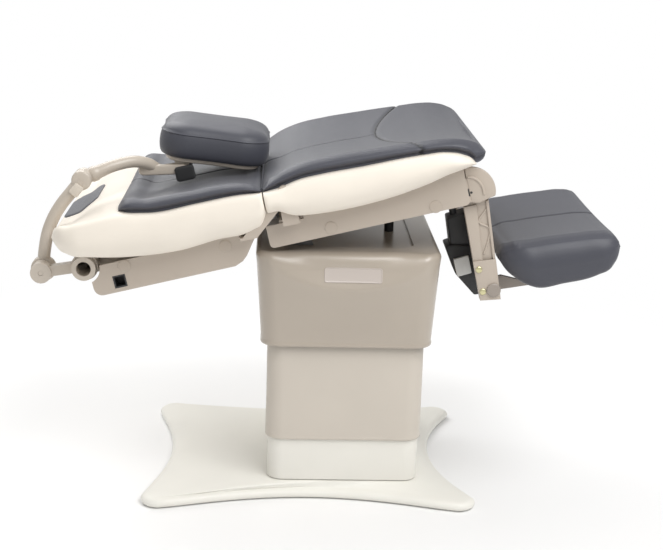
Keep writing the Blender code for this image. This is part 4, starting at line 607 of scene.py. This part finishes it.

# Seat cushion: grey vinyl over shaped foam, with a seam down the middle and a curved seam round the front
# panel, where the cushion rolls over the front edge. Sculpted in mesh code, about 4 mm fine, and pulled in
# along the seams, which carry painted shade. A dark thread lies in the curved one.
grey_vinyl = vinyl("grey_vinyl", (0.056, 0.058, 0.073), 0.40, 850.0, 0.18, 0.12)
seat_top = [(0.003, 0.092), (0.012, 0.102), (0.035, 0.115), (0.093, 0.130), (0.172, 0.132), (0.262, 0.127),
            (0.375, 0.118), (0.430, 0.113), (0.470, 0.105), (0.500, 0.091), (0.518, 0.075), (0.525, 0.061)]
seat_nose = [(seat_front, 0.0408), (0.510, 0.0425), (0.520, 0.0490), (0.525, 0.0580)]
cushion_half, cushion_bulge, cushion_dish, top_half = 0.3015, 0.0085, 0.022, 0.93
top_places = [1.0 - 0.0135 * i for i in range(1, 60)]
top_places += [0.190, 0.176, 0.162, 0.148, 0.134, 0.120, 0.106, 0.092, 0.078, 0.064, 0.050, 0.038, 0.029,
               0.021, 0.014, 0.007]


def cushion_section(u, low, high, half, dish):
    """Closed ring of a cushion: it rests flat, its sides pull in above the rest, and its top is dished."""
    tall = high - low
    bulge = min(cushion_bulge, 0.6 * tall)
    side = [(half, low), (half - 0.0015, low + 0.14 * tall), (half + 0.8 * bulge, low + 0.34 * tall),
            (half + bulge, low + 0.50 * tall), (half + 0.25 * bulge, low + 0.70 * tall),
            (half - 1.2 * bulge, low + 0.88 * tall), (0.94 * half, high - dish * (1.0 - 0.94**2))]
    right = [(0.0, low), (0.5 * half, low), (half - 0.020, low)] + [tuple(p) for p in eased(side, 24)]
    right += [(top_half * half * share, high - dish * (1.0 - (top_half * share)**2)) for share in top_places]
    return mirrored(u, right, high - dish)


def sewn(piece, lines, depth, width=0.0042, shade=1.0):
    """Pulls a form in along its seams and lays painted shade there; each line gives the distance of points
    from one seam, in metres.
    """
    mesh = piece.data
    places = np.empty(3 * len(mesh.vertices), np.float32)
    outward = np.empty(3 * len(mesh.vertices), np.float32)
    mesh.vertices.foreach_get("co", places)
    mesh.vertex_normals.foreach_get("vector", outward)
    places, outward = places.reshape(-1, 3), outward.reshape(-1, 3)
    pull = np.max([np.exp(-(line(*places.T) / width)**2) for line in lines], axis=0)
    mesh.vertices.foreach_set("co", (places - depth * pull[:, None] * outward).ravel())
    # Painted shade: this mark sets how far the vinyl's colour is darkened along each seam.
    seam_shade_marks = mesh.attributes.get("seam") or mesh.attributes.new("seam", "FLOAT", "POINT")
    seam_shade_marked = np.zeros(len(mesh.vertices), np.float32)
    seam_shade_marks.data.foreach_get("value", seam_shade_marked)
    seam_shade_marks.data.foreach_set("value", np.maximum(seam_shade_marked, shade * pull).astype(np.float32))
    mesh.update()


seam_front, seam_sweep, seam_half, seam_power = 0.291, 0.085, 0.300, 1.9
groove, rest_gap = 0.0036, 0.0004
seat_sections = []
for u in spread(0.003, 0.5249, 128, 0.45):
    low = line_at(seat_rim, u) + rest_gap if u < seat_front else line_at(seat_nose, u)
    high = line_at(seat_top, u)
    fade = min(1.0, (high - low) / 0.035)
    half = cushion_half - 0.024 * max(0.0, (u - 0.440) / 0.085)**3
    seat_sections.append(cushion_section(u, low, high, half, cushion_dish * fade**2))
seat_cushion = skin("seat_cushion", seat_sections)


def front_seam(u, y, w):
    """Distance from the curved seam, which sweeps forward towards both sides."""
    share = np.minimum(1.2, np.abs(y) / seam_half)
    slope = seam_sweep * seam_power / seam_half * share**(seam_power - 1.0)
    below = np.where(w > line_at(seat_top, u) - 0.030, 0.0, 1.0)
    return np.abs(u - seam_front - seam_sweep * share**seam_power) / np.sqrt(1.0 + slope * slope) + below


def middle_seam(u, y, w):
    """Distance from the middle seam, which ends at the curved one."""
    return np.abs(y) + np.maximum(0.0, u - seam_front) + np.where(w > 0.090, 0.0, 1.0)


def bent_tube(name, route, thickness, count=72, sides=28, across=(0.0, 1.0, 0.0)):
    """Tube along a smooth route, which never runs along across; thickness gives its radius by share."""
    path = eased(route, count)
    ahead = np.gradient(path, axis=0)
    ahead /= np.linalg.norm(ahead, axis=1)[:, None]
    rings = []
    for i, (centre, along) in enumerate(zip(path, ahead)):
        side = np.cross(along, across)
        side /= np.linalg.norm(side)
        up = np.cross(side, along)
        radius = thickness(i / (count - 1))
        angles = 2 * np.pi * np.arange(sides) / sides
        rings.append([tuple(p) for p in centre + radius * (np.outer(np.cos(angles), side)
                                                           + np.outer(np.sin(angles), up))])
    return skin(name, rings)


thread_dark = finish("thread_dark", (0.010, 0.010, 0.012), 0.60, 600.0, 0.10)
thread_half, thread_radius = 0.272, 0.0017
thread_route = []
for y in np.linspace(-thread_half, thread_half, 33):
    u = seam_front + seam_sweep * (abs(y) / seam_half)**seam_power
    high = line_at(seat_top, u) - cushion_dish * (1.0 - (y / cushion_half)**2)
    thread_route.append((u, y, high - 0.2 * groove))
thread = bent_tube("seat_thread", thread_route, lambda share: thread_radius, 160, 8, (0.0, 0.0, 1.0))
fitted(on_table(thread), "seat", "grey_vinyl", thread_dark)
sewn(seat_cushion, [front_seam, middle_seam], groove)
fitted(on_table(seat_cushion), "seat", "grey_vinyl", grey_vinyl, "seat_cushion")

# Crease lips: the vinyl of both cushions is folded down into the crease between them, so the gap stays
# dark and closed. Each lip is one strip across the table, fixed to its own cushion.


def crease_lip(name, near, far):
    """Strip with a small step in it, from a place near the crease to one further off."""
    section = [(near, 0.040), (near, 0.0805), (far, 0.0860), (far, 0.0900), (near, 0.0930), (near, 0.0945),
               (0.75 * near, 0.0945), (0.75 * near, 0.040)]
    lip_half = 0.298
    rings = [[(u, y, w) for u, w in section] for y in np.linspace(-lip_half, lip_half, 25)]
    return skin(name, rings)


fitted(on_table(crease_lip("seat_lip", 0.0004, 0.0032)), "seat", "grey_vinyl", grey_vinyl)
fitted(on_table(crease_lip("back_lip", -0.0004, -0.0032)), "back", "grey_vinyl", grey_vinyl)

# Back shell: the cream body of the back, vinyl over foam like the seat's. Its top is crowned beyond the
# cushion and sags between the sides at the head end, where the neck pad lies. Made as the seat shell is.
head_end = -0.508
back_underside = [(head_end, 0.080), (-0.498, 0.055), (-0.474, 0.037), (-0.421, 0.021), (-0.358, 0.006),
                  (-0.283, -0.005), (-0.207, -0.009), (-0.128, -0.003), (-0.040, 0.000), (-0.016, 0.011),
                  (-crease, 0.033)]
back_rim = [(head_end, 0.0835), (-0.494, 0.101), (-0.450, 0.108), (-0.400, 0.109), (-0.325, 0.107),
            (-0.290, 0.100), (-0.260, 0.094), (-0.157, 0.092), (-0.055, 0.090), (-crease, 0.084)]
back_ends = [(head_end, 0.078, 0.085), (-crease, 0.012, 0.006)]
head_crown = [(head_end, 0.0), (-0.502, -0.006), (-0.495, -0.014), (-0.486, -0.019), (-0.474, -0.019),
              (-0.460, -0.015), (-0.445, -0.009), (-0.430, -0.002), (-0.415, 0.004), (-0.400, 0.008),
              (-0.380, 0.010), (-0.330, 0.010), (-0.315, 0.0), (-crease, 0.0)]
crown_places, crown_heights = np.array(head_crown).T
back_sections = []
for u in spread(head_end, -crease, 96, 0.8):
    low, rim = line_at(back_underside, u), line_at(back_rim, u)
    crown = np.interp(u, crown_places, crown_heights)
    back_sections.append(shell_section(u, low, rim, drawn_in(u, back_ends), crown))
back_shell = skin("back_shell", back_sections)
fitted(on_table(back_shell), "back", "cream_vinyl", cream_vinyl, "back_shell")

# Back cushion: the same grey vinyl over foam, squared off at the head end, with a seam down the middle
# that carries painted shade. It rests on the back shell and thins towards the crease.
cushion_end, cushion_start = -0.336, -0.003
back_top = [(cushion_end, 0.120), (-0.328, 0.128), (-0.260, 0.127), (-0.160, 0.124), (-0.090, 0.122),
            (-0.035, 0.112), (-0.012, 0.101), (cushion_start, 0.092)]
back_cushion_sections = []
for u in spread(cushion_end, cushion_start, 90, 0.5):
    low, high = line_at(back_rim, u) + rest_gap, line_at(back_top, u)
    fade = min(1.0, (u - cushion_end + 0.006) / 0.060, (0.010 - u) / 0.050)
    half = cushion_half - 0.020 * max(0.0, (-0.300 - u) / 0.036)**2
    back_cushion_sections.append(cushion_section(u, low, high, half, cushion_dish * fade))
back_cushion = skin("back_cushion", back_cushion_sections)


def back_seam(u, y, w):
    """Distance from the middle seam."""
    return np.abs(y) + np.where(w > 0.086, 0.0, 1.0)


sewn(back_cushion, [back_seam], 0.0030)
fitted(on_table(back_cushion), "back", "grey_vinyl", grey_vinyl, "back_cushion")

# Neck pad: a thin grey vinyl pad with round ends, sewn on flat where the head end falls away.
# Its rings follow the sag of the shell below.
neck_u, neck_half_u, neck_half_y, neck_corner = -0.4580, 0.0470, 0.1140, 0.0466
neck_rings = []
for share, rise in ((0.985, -0.0040), (1.0, -0.0005), (1.0, 0.0012), (0.985, 0.0028), (0.95, 0.0038),
                    (0.90, 0.0044), (0.80, 0.0048), (0.66, 0.0050), (0.50, 0.0050), (0.34, 0.0050),
                    (0.18, 0.0050)):
    ring = []
    for across, y in rounded_outline(neck_half_u * share, neck_half_y * share, neck_corner * share, side=10):
        u = neck_u + across
        crown = np.interp(u, crown_places, crown_heights)
        edge = drawn_in(u, back_ends) - rim_inset
        ring.append((u, y, line_at(back_rim, u) + crown * (1.0 - (abs(y) / edge)**4) + rise))
    neck_rings.append(ring)
neck_pad = skin("neck_pad", neck_rings)
fitted(on_table(neck_pad), "back", "grey_vinyl", grey_vinyl, "neck_pad")

# Back frame and under-cover: painted rails carry a moulded taupe tub, a steel accessory tube across
# the head end and a square black socket on each side. Round caps hold the tub.
painted(cover_taupe, "back_frame", "back_cover")
painted(black_moulding, "accessory_socket_near", "accessory_socket_far", "back_actuator")
painted(drawn_steel, "back_rod")
tube_paint = finish("tube_paint", (0.515, 0.455, 0.385), 0.34, 500.0, 0.08, coat=0.2)
painted(tube_paint, "cross_tube")
for side_name, sign in both_sides:
    back_caps = caps("back_caps_" + side_name, sign, 0.270, ((-0.359, -0.023), (-0.116, -0.029)))
    fitted(back_caps, "back", "taupe_plastic", cover_taupe)

# Headrest arm: painted steel tube in two bent lengths, which swell a little towards the grooved knuckles
# that clamp them, with a pale cast block at the elbow. The upper length has a collar and runs in under the
# pad to a black pivot block.
painted(tube_paint, "arm_hub", "headrest_plate", "knuckle_pin_1", "knuckle_pin_2")
painted(black_moulding, "pad_pivot")
pale_casting = finish("pale_casting", (0.620, 0.560, 0.480), 0.36, 420.0, 0.10)


def knuckle(name, centre, start, end, radius):
    """Turned eye with rounded edges and two shallow grooves round it."""
    profile = [(0.0, 0.42), (0.01, 0.80), (0.05, 0.93), (0.12, 0.98), (0.24, 1.0), (0.30, 0.955),
               (0.36, 0.955), (0.42, 1.0), (0.58, 1.0), (0.64, 0.955), (0.70, 0.955), (0.76, 1.0),
               (0.88, 0.98), (0.95, 0.93), (0.99, 0.80), (1.0, 0.42)]
    stations = [(start + share * (end - start), size * radius) for share, size in profile]
    return turned(name, stations, centre, 48)


def lower_size(share):
    """Radius of the lower length."""
    return 0.0150 + 0.0012 * math.exp(-((share - 1.0) / 0.12)**2)


def upper_size(share):
    """Radius of the upper length, with its collar and a taper under the pad."""
    collar = math.exp(-((share - 0.105) / 0.034)**6)
    taper = 0.0020 * max(0.0, (share - 0.7) / 0.3)
    return 0.0145 - taper + 0.0022 * math.exp(-((share - 0.1) / 0.12)**2) + 0.0020 * collar


hub_at, elbow_at = (-0.559, -0.001), (-0.415, 0.187)
lower_near, lower_y, lower_far = -0.2163, -0.2025, -0.1887
lower_route = [hub_at, (-0.545, 0.042), (-0.520, 0.092), (-0.480, 0.138), elbow_at]
lower_arm = joined("lower_arm", bent_tube("tube", [(u, lower_y, w) for u, w in lower_route], lower_size),
                   knuckle("eye", hub_at, lower_near, lower_far, 0.0300),
                   knuckle("eye", elbow_at, lower_near, lower_far, 0.0235))
fitted(on_table(lower_arm), "headrest_lower_arm", "arm_paint", tube_paint, "lower_arm")
fork_u, fork_w, fork_cos, fork_sin = -0.4310, 0.1690, 0.81, 0.59
fork_rings = []
for y, inset in ((-0.2160, 0.0), (-0.2215, 0.0), (-0.2232, 0.0010), (-0.2238, 0.0028)):
    outline = rounded_outline(0.0145 - inset, 0.0120 - inset, 0.0045 - inset, arc=6, side=3)
    fork_rings.append([(fork_u + fork_cos * a - fork_sin * b, y, fork_w + fork_sin * a + fork_cos * b)
                       for a, b in outline])
fork = skin("fork_block", fork_rings)
fitted(on_table(fork), "headrest_lower_arm", "arm_paint", pale_casting)
upper_route = [(-0.415, -0.1729, 0.187), (-0.392, -0.168, 0.1890), (-0.345, -0.153, 0.1950),
               (-0.300, -0.128, 0.1915), (-0.268, -0.104, 0.1750), (-0.244, -0.082, 0.1500),
               (-0.206, -0.060, 0.142)]
upper_arm = joined("upper_arm", bent_tube("tube", upper_route, upper_size),
                   knuckle("eye", elbow_at, -0.1874, -0.1584, 0.0225))
fitted(on_table(upper_arm), "headrest_upper_arm", "arm_paint", tube_paint, "upper_arm")

# Clamp bar: a cast bar with round ends, painted like the arm, that grips the pad's axle.
# A black moulded end block is pushed on over the axle.


def bar_rings(start, end, half_width, faces):
    """Rings of a flat bar with round ends from start to end, stacked across the table."""
    start, end = np.array(start), np.array(end)
    run = (end - start) / np.linalg.norm(end - start)
    lift = np.array((-run[1], run[0]))
    middle = (start + end) / 2
    reach = np.linalg.norm(end - start) / 2 + half_width
    rings = []
    for y, inset in faces:
        outline = rounded_outline(reach - inset, half_width - inset, max(half_width - inset - 0.0004, 0.001),
                                  arc=10, side=8)
        rings.append([(u, y, w) for u, w in (middle + a * run + b * lift for a, b in outline)])
    return rings


bar_start, bar_end, bar_half = (-0.187, 0.142), (-0.281, 0.160), 0.0125
bar_faces = ((-0.1068, 0.0050), (-0.1064, 0.0028), (-0.1052, 0.0010), (-0.1032, 0.0), (-0.0974, 0.0),
             (-0.0954, 0.0010), (-0.0942, 0.0028), (-0.0938, 0.0050))
clamp_bar = skin("clamp_bar", bar_rings(bar_start, bar_end, bar_half, bar_faces))
fitted(on_table(clamp_bar), "headrest_lever", "arm_paint", tube_paint, "release_lever")
block_u, block_w = -0.184, 0.1325
block_rings = []
for y, inset in ((-0.1072, 0.0), (-0.1100, 0.0), (-0.1122, 0.0010), (-0.1132, 0.0032), (-0.1134, 0.0070)):
    outline = rounded_outline(0.0240 - inset, 0.0185 - inset, 0.008 - min(inset, 0.006), arc=8, side=4)
    block_rings.append([(block_u + u, y, block_w + w) for u, w in outline])
clamp_end = skin("clamp_end", block_rings)
fitted(on_table(clamp_end), "headrest_lever", "black_plastic", black_moulding)

# Headrest pad: a thick cushion of foam and grey vinyl with large round corners, welted round its upper edge.
# It slopes towards the crease and is screwed to a hidden plate.
pad_slope = math.radians(20.0)
pad_start, pad_end, pad_half, pad_corner, pad_waist = -0.288, -0.0245, 0.1275, 0.066, 0.003
pad_mid, pad_reach = (pad_start + pad_end) / 2, (pad_end - pad_start) / 2


def pad_point(d, y, n):
    """Point of the pad in the table's frame, from its places along, across and above the slope."""
    return (d * math.cos(pad_slope) + n * math.sin(pad_slope), y,
            -d * math.sin(pad_slope) + n * math.cos(pad_slope))


pad_profile = [(0.022, 0.0975), (0.010, 0.0985), (0.0040, 0.1015), (0.0005, 0.1070), (-0.0015, 0.1150),
               (-0.0028, 0.1250), (-0.0030, 0.1350), (-0.0024, 0.1440), (-0.0012, 0.1510), (0.0002, 0.1556),
               (-0.0006, 0.1566), (-0.0012, 0.1578), (-0.0006, 0.1590), (0.0020, 0.1606), (0.0040, 0.1648),
               (0.0072, 0.1690), (0.0120, 0.1730), (0.019, 0.1768), (0.028, 0.1798), (0.040, 0.1824),
               (0.055, 0.1842), (0.072, 0.1853), (0.090, 0.1858), (0.108, 0.1860)]
pad_rings = []
for inset, n in pad_profile:
    outline = rounded_outline(pad_reach - inset, pad_half - inset, max(pad_corner - inset, 0.012), pad_waist,
                              pad_waist)
    pad_rings.append([pad_point(pad_mid + d, y, n) for d, y in outline])
headrest_pad = skin("headrest_pad", pad_rings)
fitted(on_table(headrest_pad), "headrest", "grey_vinyl", grey_vinyl, "headrest_pad")

# Leg rest: two pressed taupe sides with a zigzag rib in the front channel, a panel between them, lower
# brackets on zinc bolts, and a black drive with a bare white box behind. Fixed hoods cover the hinge; a thin
# black disc on each is painted shade for its pin hole.


def slab(name, outline, faces, sign=1, ease=0.0012):
    """Flat plate with eased edges, from an outline along the table and the places of its faces across it."""
    start, end = (sign * face for face in faces)
    form = bmesh.new()
    face = form.faces.new([form.verts.new((u, start, w)) for u, w in outline])
    grown = bmesh.ops.extrude_face_region(form, geom=[face])
    moved = [item for item in grown["geom"] if isinstance(item, bmesh.types.BMVert)]
    bmesh.ops.translate(form, verts=moved, vec=(0.0, end - start, 0.0))
    bmesh.ops.bevel(form, geom=form.edges[:], offset=ease, segments=3, profile=0.5, affect="EDGES")
    return shown(name, form, 32.0)


def arc_points(centre, radius, start, end, count):
    """Points along an arc between two angles in degrees."""
    angles = [math.radians(start + (end - start) * i / count) for i in range(count + 1)]
    return [(centre[0] + radius * math.cos(a), centre[1] + radius * math.sin(a)) for a in angles]


zinc = finish("zinc", (0.62, 0.58, 0.34), 0.32, 300.0, 0.10, metal=0.8)
box_white = finish("box_white", (0.70, 0.70, 0.68), 0.45, 700.0, 0.08)
hinge_at = (0.474, -0.032)
side_line = arc_points(hinge_at, 0.052, 200, -32, 18)
side_line += [(0.5140, -0.0640), (0.4965, -0.3110), (0.4480, -0.3030), (0.4530, -0.0690)]
rear_line = [(0.4530, -0.0690), (0.4840, -0.0690), (0.4730, -0.2100), (0.4500, -0.2060)]
flange_line = [(0.5070, -0.0660), (0.5140, -0.0640), (0.4965, -0.3110), (0.4905, -0.3100)]
zigzag = [(0.5050, -0.0860), (0.4815, -0.1120), (0.5020, -0.1320), (0.4985, -0.1560), (0.4790, -0.1930)]
bracket_line = [(0.4485, -0.2040), (0.5040, -0.2100), (0.4970, -0.3110), (0.4475, -0.3030)]
hood_line = arc_points(hinge_at, 0.0600, 92, -16, 16)
hood_line += [(0.5300, -0.0535), (0.5150, -0.0560), (0.4900, -0.0625), (0.4715, -0.0570), (0.4690, 0.0200)]
rib_route = [(0.4740, 0.0050), (0.4860, 0.0010), (0.4970, -0.0100), (0.5035, -0.0250), (0.5045, -0.0440)]
zigzag_out, zigzag_radius, rib_radius = 0.2375, 0.0026, 0.0032
side_faces, strip_faces, bracket_faces = (0.222, 0.237), (0.236, 0.242), (0.2424, 0.2470)
hood_faces, hood_ease = (0.2490, 0.2628), 0.0028
bolt_profile = ((0.2468, 0.0078), (0.2490, 0.0078), (0.2502, 0.0066), (0.2506, 0.0040))
bolt_spots = ((0.4590, -0.2260), (0.4580, -0.2820))
pin_hole_shade_profile = ((0.2620, 0.0030), (0.2631, 0.0030), (0.2632, 0.0020))
pin_hole_spot = (0.4755, -0.0330)
painted(cover_taupe, "leg_panel")
for side_name, sign in both_sides:
    zigzag_route = [(u, sign * zigzag_out, w) for u, w in zigzag]
    side = joined("leg_side_" + side_name, slab("plate", side_line, side_faces, sign),
                  slab("rear", rear_line, strip_faces, sign), slab("flange", flange_line, strip_faces, sign),
                  bent_tube("zigzag", zigzag_route, lambda share: zigzag_radius, 60, 12))
    fitted(on_table(side), "leg_rest", "taupe_plastic", cover_taupe, "leg_side_" + side_name)
    bracket = slab("leg_bracket_" + side_name, bracket_line, bracket_faces, sign)
    fitted(on_table(bracket), "leg_rest", "taupe_plastic", cover_taupe, "leg_bracket_" + side_name)
    bolts = joined("leg_bolts_" + side_name,
                   *[button("bolt", sign, bolt_profile, spot, 24) for spot in bolt_spots])
    fitted(on_table(bolts), "leg_rest", "steel", zinc)
    hood_rib = [(u, sign * hood_faces[1], w) for u, w in rib_route]
    hood = joined("leg_hood_" + side_name, slab("hood", hood_line, hood_faces, sign, hood_ease),
                  bent_tube("rib", hood_rib, lambda share: rib_radius, 40, 14))
    fitted(on_table(hood), "seat", "taupe_plastic", cover_taupe)
    # Painted shade: a thin black disc on the hood stands for the shade in its pin hole.
    pin = button("hood_pin_hole_shade_" + side_name, sign, pin_hole_shade_profile, pin_hole_spot, 16)
    fitted(on_table(pin), "seat", "black_plastic", black_moulding)

drive_upper = [(0.4180, -0.1200), (0.4670, -0.1160), (0.4670, -0.2080), (0.4120, -0.1960)]
drive_lower = [(0.3990, -0.1880), (0.4140, -0.1860), (0.4670, -0.2000), (0.4640, -0.3280), (0.4460, -0.3270),
               (0.4100, -0.2620)]
drive = joined("leg_drive_housing", slab("upper", drive_upper, (-0.112, -0.050), ease=0.0040),
               slab("lower", drive_lower, (-0.118, -0.042), ease=0.0045))
fitted(on_table(drive), "leg_rest", "black_plastic", black_moulding, "leg_actuator")
box_line = [(0.4120, -0.2220), (0.4500, -0.2200), (0.4500, -0.2660), (0.4130, -0.2680)]
drive_box = slab("drive_box", box_line, (-0.128, -0.1175), ease=0.0015)
fitted(on_table(drive_box), "leg_rest", "white_plastic", box_white)
painted(black_moulding, "leg_rod")

# Foot rest: two bent steel arms on a shaft carry a plate, and a thick pad of foam and grey vinyl is screwed
# to it. The pad has a seam down the middle, which carries painted shade, and a raised welt along both sides,
# pulled out of the mesh.
arm_brown = finish("arm_brown", (0.30, 0.26, 0.225), 0.40, 500.0, 0.08)
painted(arm_brown, "foot_arm_near", "foot_arm_far", "foot_plate", "foot_shaft")
boss_spot = (0.484, -0.284)
boss_profile = ((0.2474, 0.0170), (0.2510, 0.0170), (0.2524, 0.0155), (0.2528, 0.0120))
for side_name, sign in both_sides:
    boss = button("foot_boss_" + side_name, sign, boss_profile, boss_spot)
    fitted(on_table(boss), "foot_rest", "arm_paint", arm_brown)
foot_start, foot_end, foot_half, foot_roll, foot_dish = 0.512, 0.798, 0.291, 0.052, 0.010
foot_top = [(foot_start, -0.208), (0.520, -0.194), (0.545, -0.182), (0.600, -0.182), (0.700, -0.190),
            (0.755, -0.197), (0.782, -0.206), (0.794, -0.218), (foot_end, -0.230)]
foot_underside = [(foot_start, -0.216), (0.520, -0.238), (0.540, -0.266), (0.578, -0.294), (0.650, -0.301),
                  (0.733, -0.298), (0.772, -0.284), (0.791, -0.258), (foot_end, -0.240)]


def foot_section(u, low, high, half):
    """Closed ring of the pad: full rounded sides, a wide roll along the top edges and a dished top."""
    tall = high - low
    full = min(1.0, tall / 0.080)
    side = [(half - 0.045, low), (half - 0.016 * full, low + 0.04 * tall),
            (half - 0.005 * full, low + 0.16 * tall), (half - 0.001, low + 0.38 * tall),
            (half, low + 0.52 * tall), (half - 0.004, low + 0.70 * tall),
            (half - 0.014 * full, low + 0.86 * tall), (half - 0.032 * full, low + 0.965 * tall),
            (half - foot_roll, high)]
    right = [(0.0, low), (0.5 * half, low)] + [tuple(p) for p in eased(side, 40)]
    top_steps = 56
    for i in range(1, top_steps):
        share = 1.0 - i / top_steps
        right.append(((half - foot_roll) * share, high - foot_dish * full * (1.0 - share**2)))
    return mirrored(u, right, high - foot_dish * full)


foot_sections = []
for u in spread(foot_start, foot_end, 80, 0.8):
    leg_end = max(0.0, 1.0 - (u - foot_start + 0.0005) / 0.080)
    toe_end = max(0.0, 1.0 - (foot_end + 0.0005 - u) / 0.055)
    half = foot_half - 0.085 * (1 - math.sqrt(1 - leg_end**2)) - 0.036 * (1 - math.sqrt(1 - toe_end**2))
    foot_sections.append(foot_section(u, line_at(foot_underside, u), line_at(foot_top, u), half))
foot_pad = skin("foot_pad", foot_sections)


def foot_seam(u, y, w):
    """Distance from the middle seam."""
    return np.abs(y) + np.where(w > -0.222, 0.0, 1.0)


def foot_welt(u, y, w):
    """Distance from the welts, a little below the top along both sides."""
    return np.abs(w - line_at(foot_top, u) + 0.0120) + np.where(np.abs(y) > 0.180, 0.0, 1.0)


sewn(foot_pad, [foot_seam], 0.0030)
sewn(foot_pad, [foot_welt], -0.0014, 0.0022, 0.0)
fitted(on_table(foot_pad), "foot_rest", "grey_vinyl", grey_vinyl, "foot_pad")

# Brings the scene up to date once every piece is in place.
bpy.context.view_layer.update()
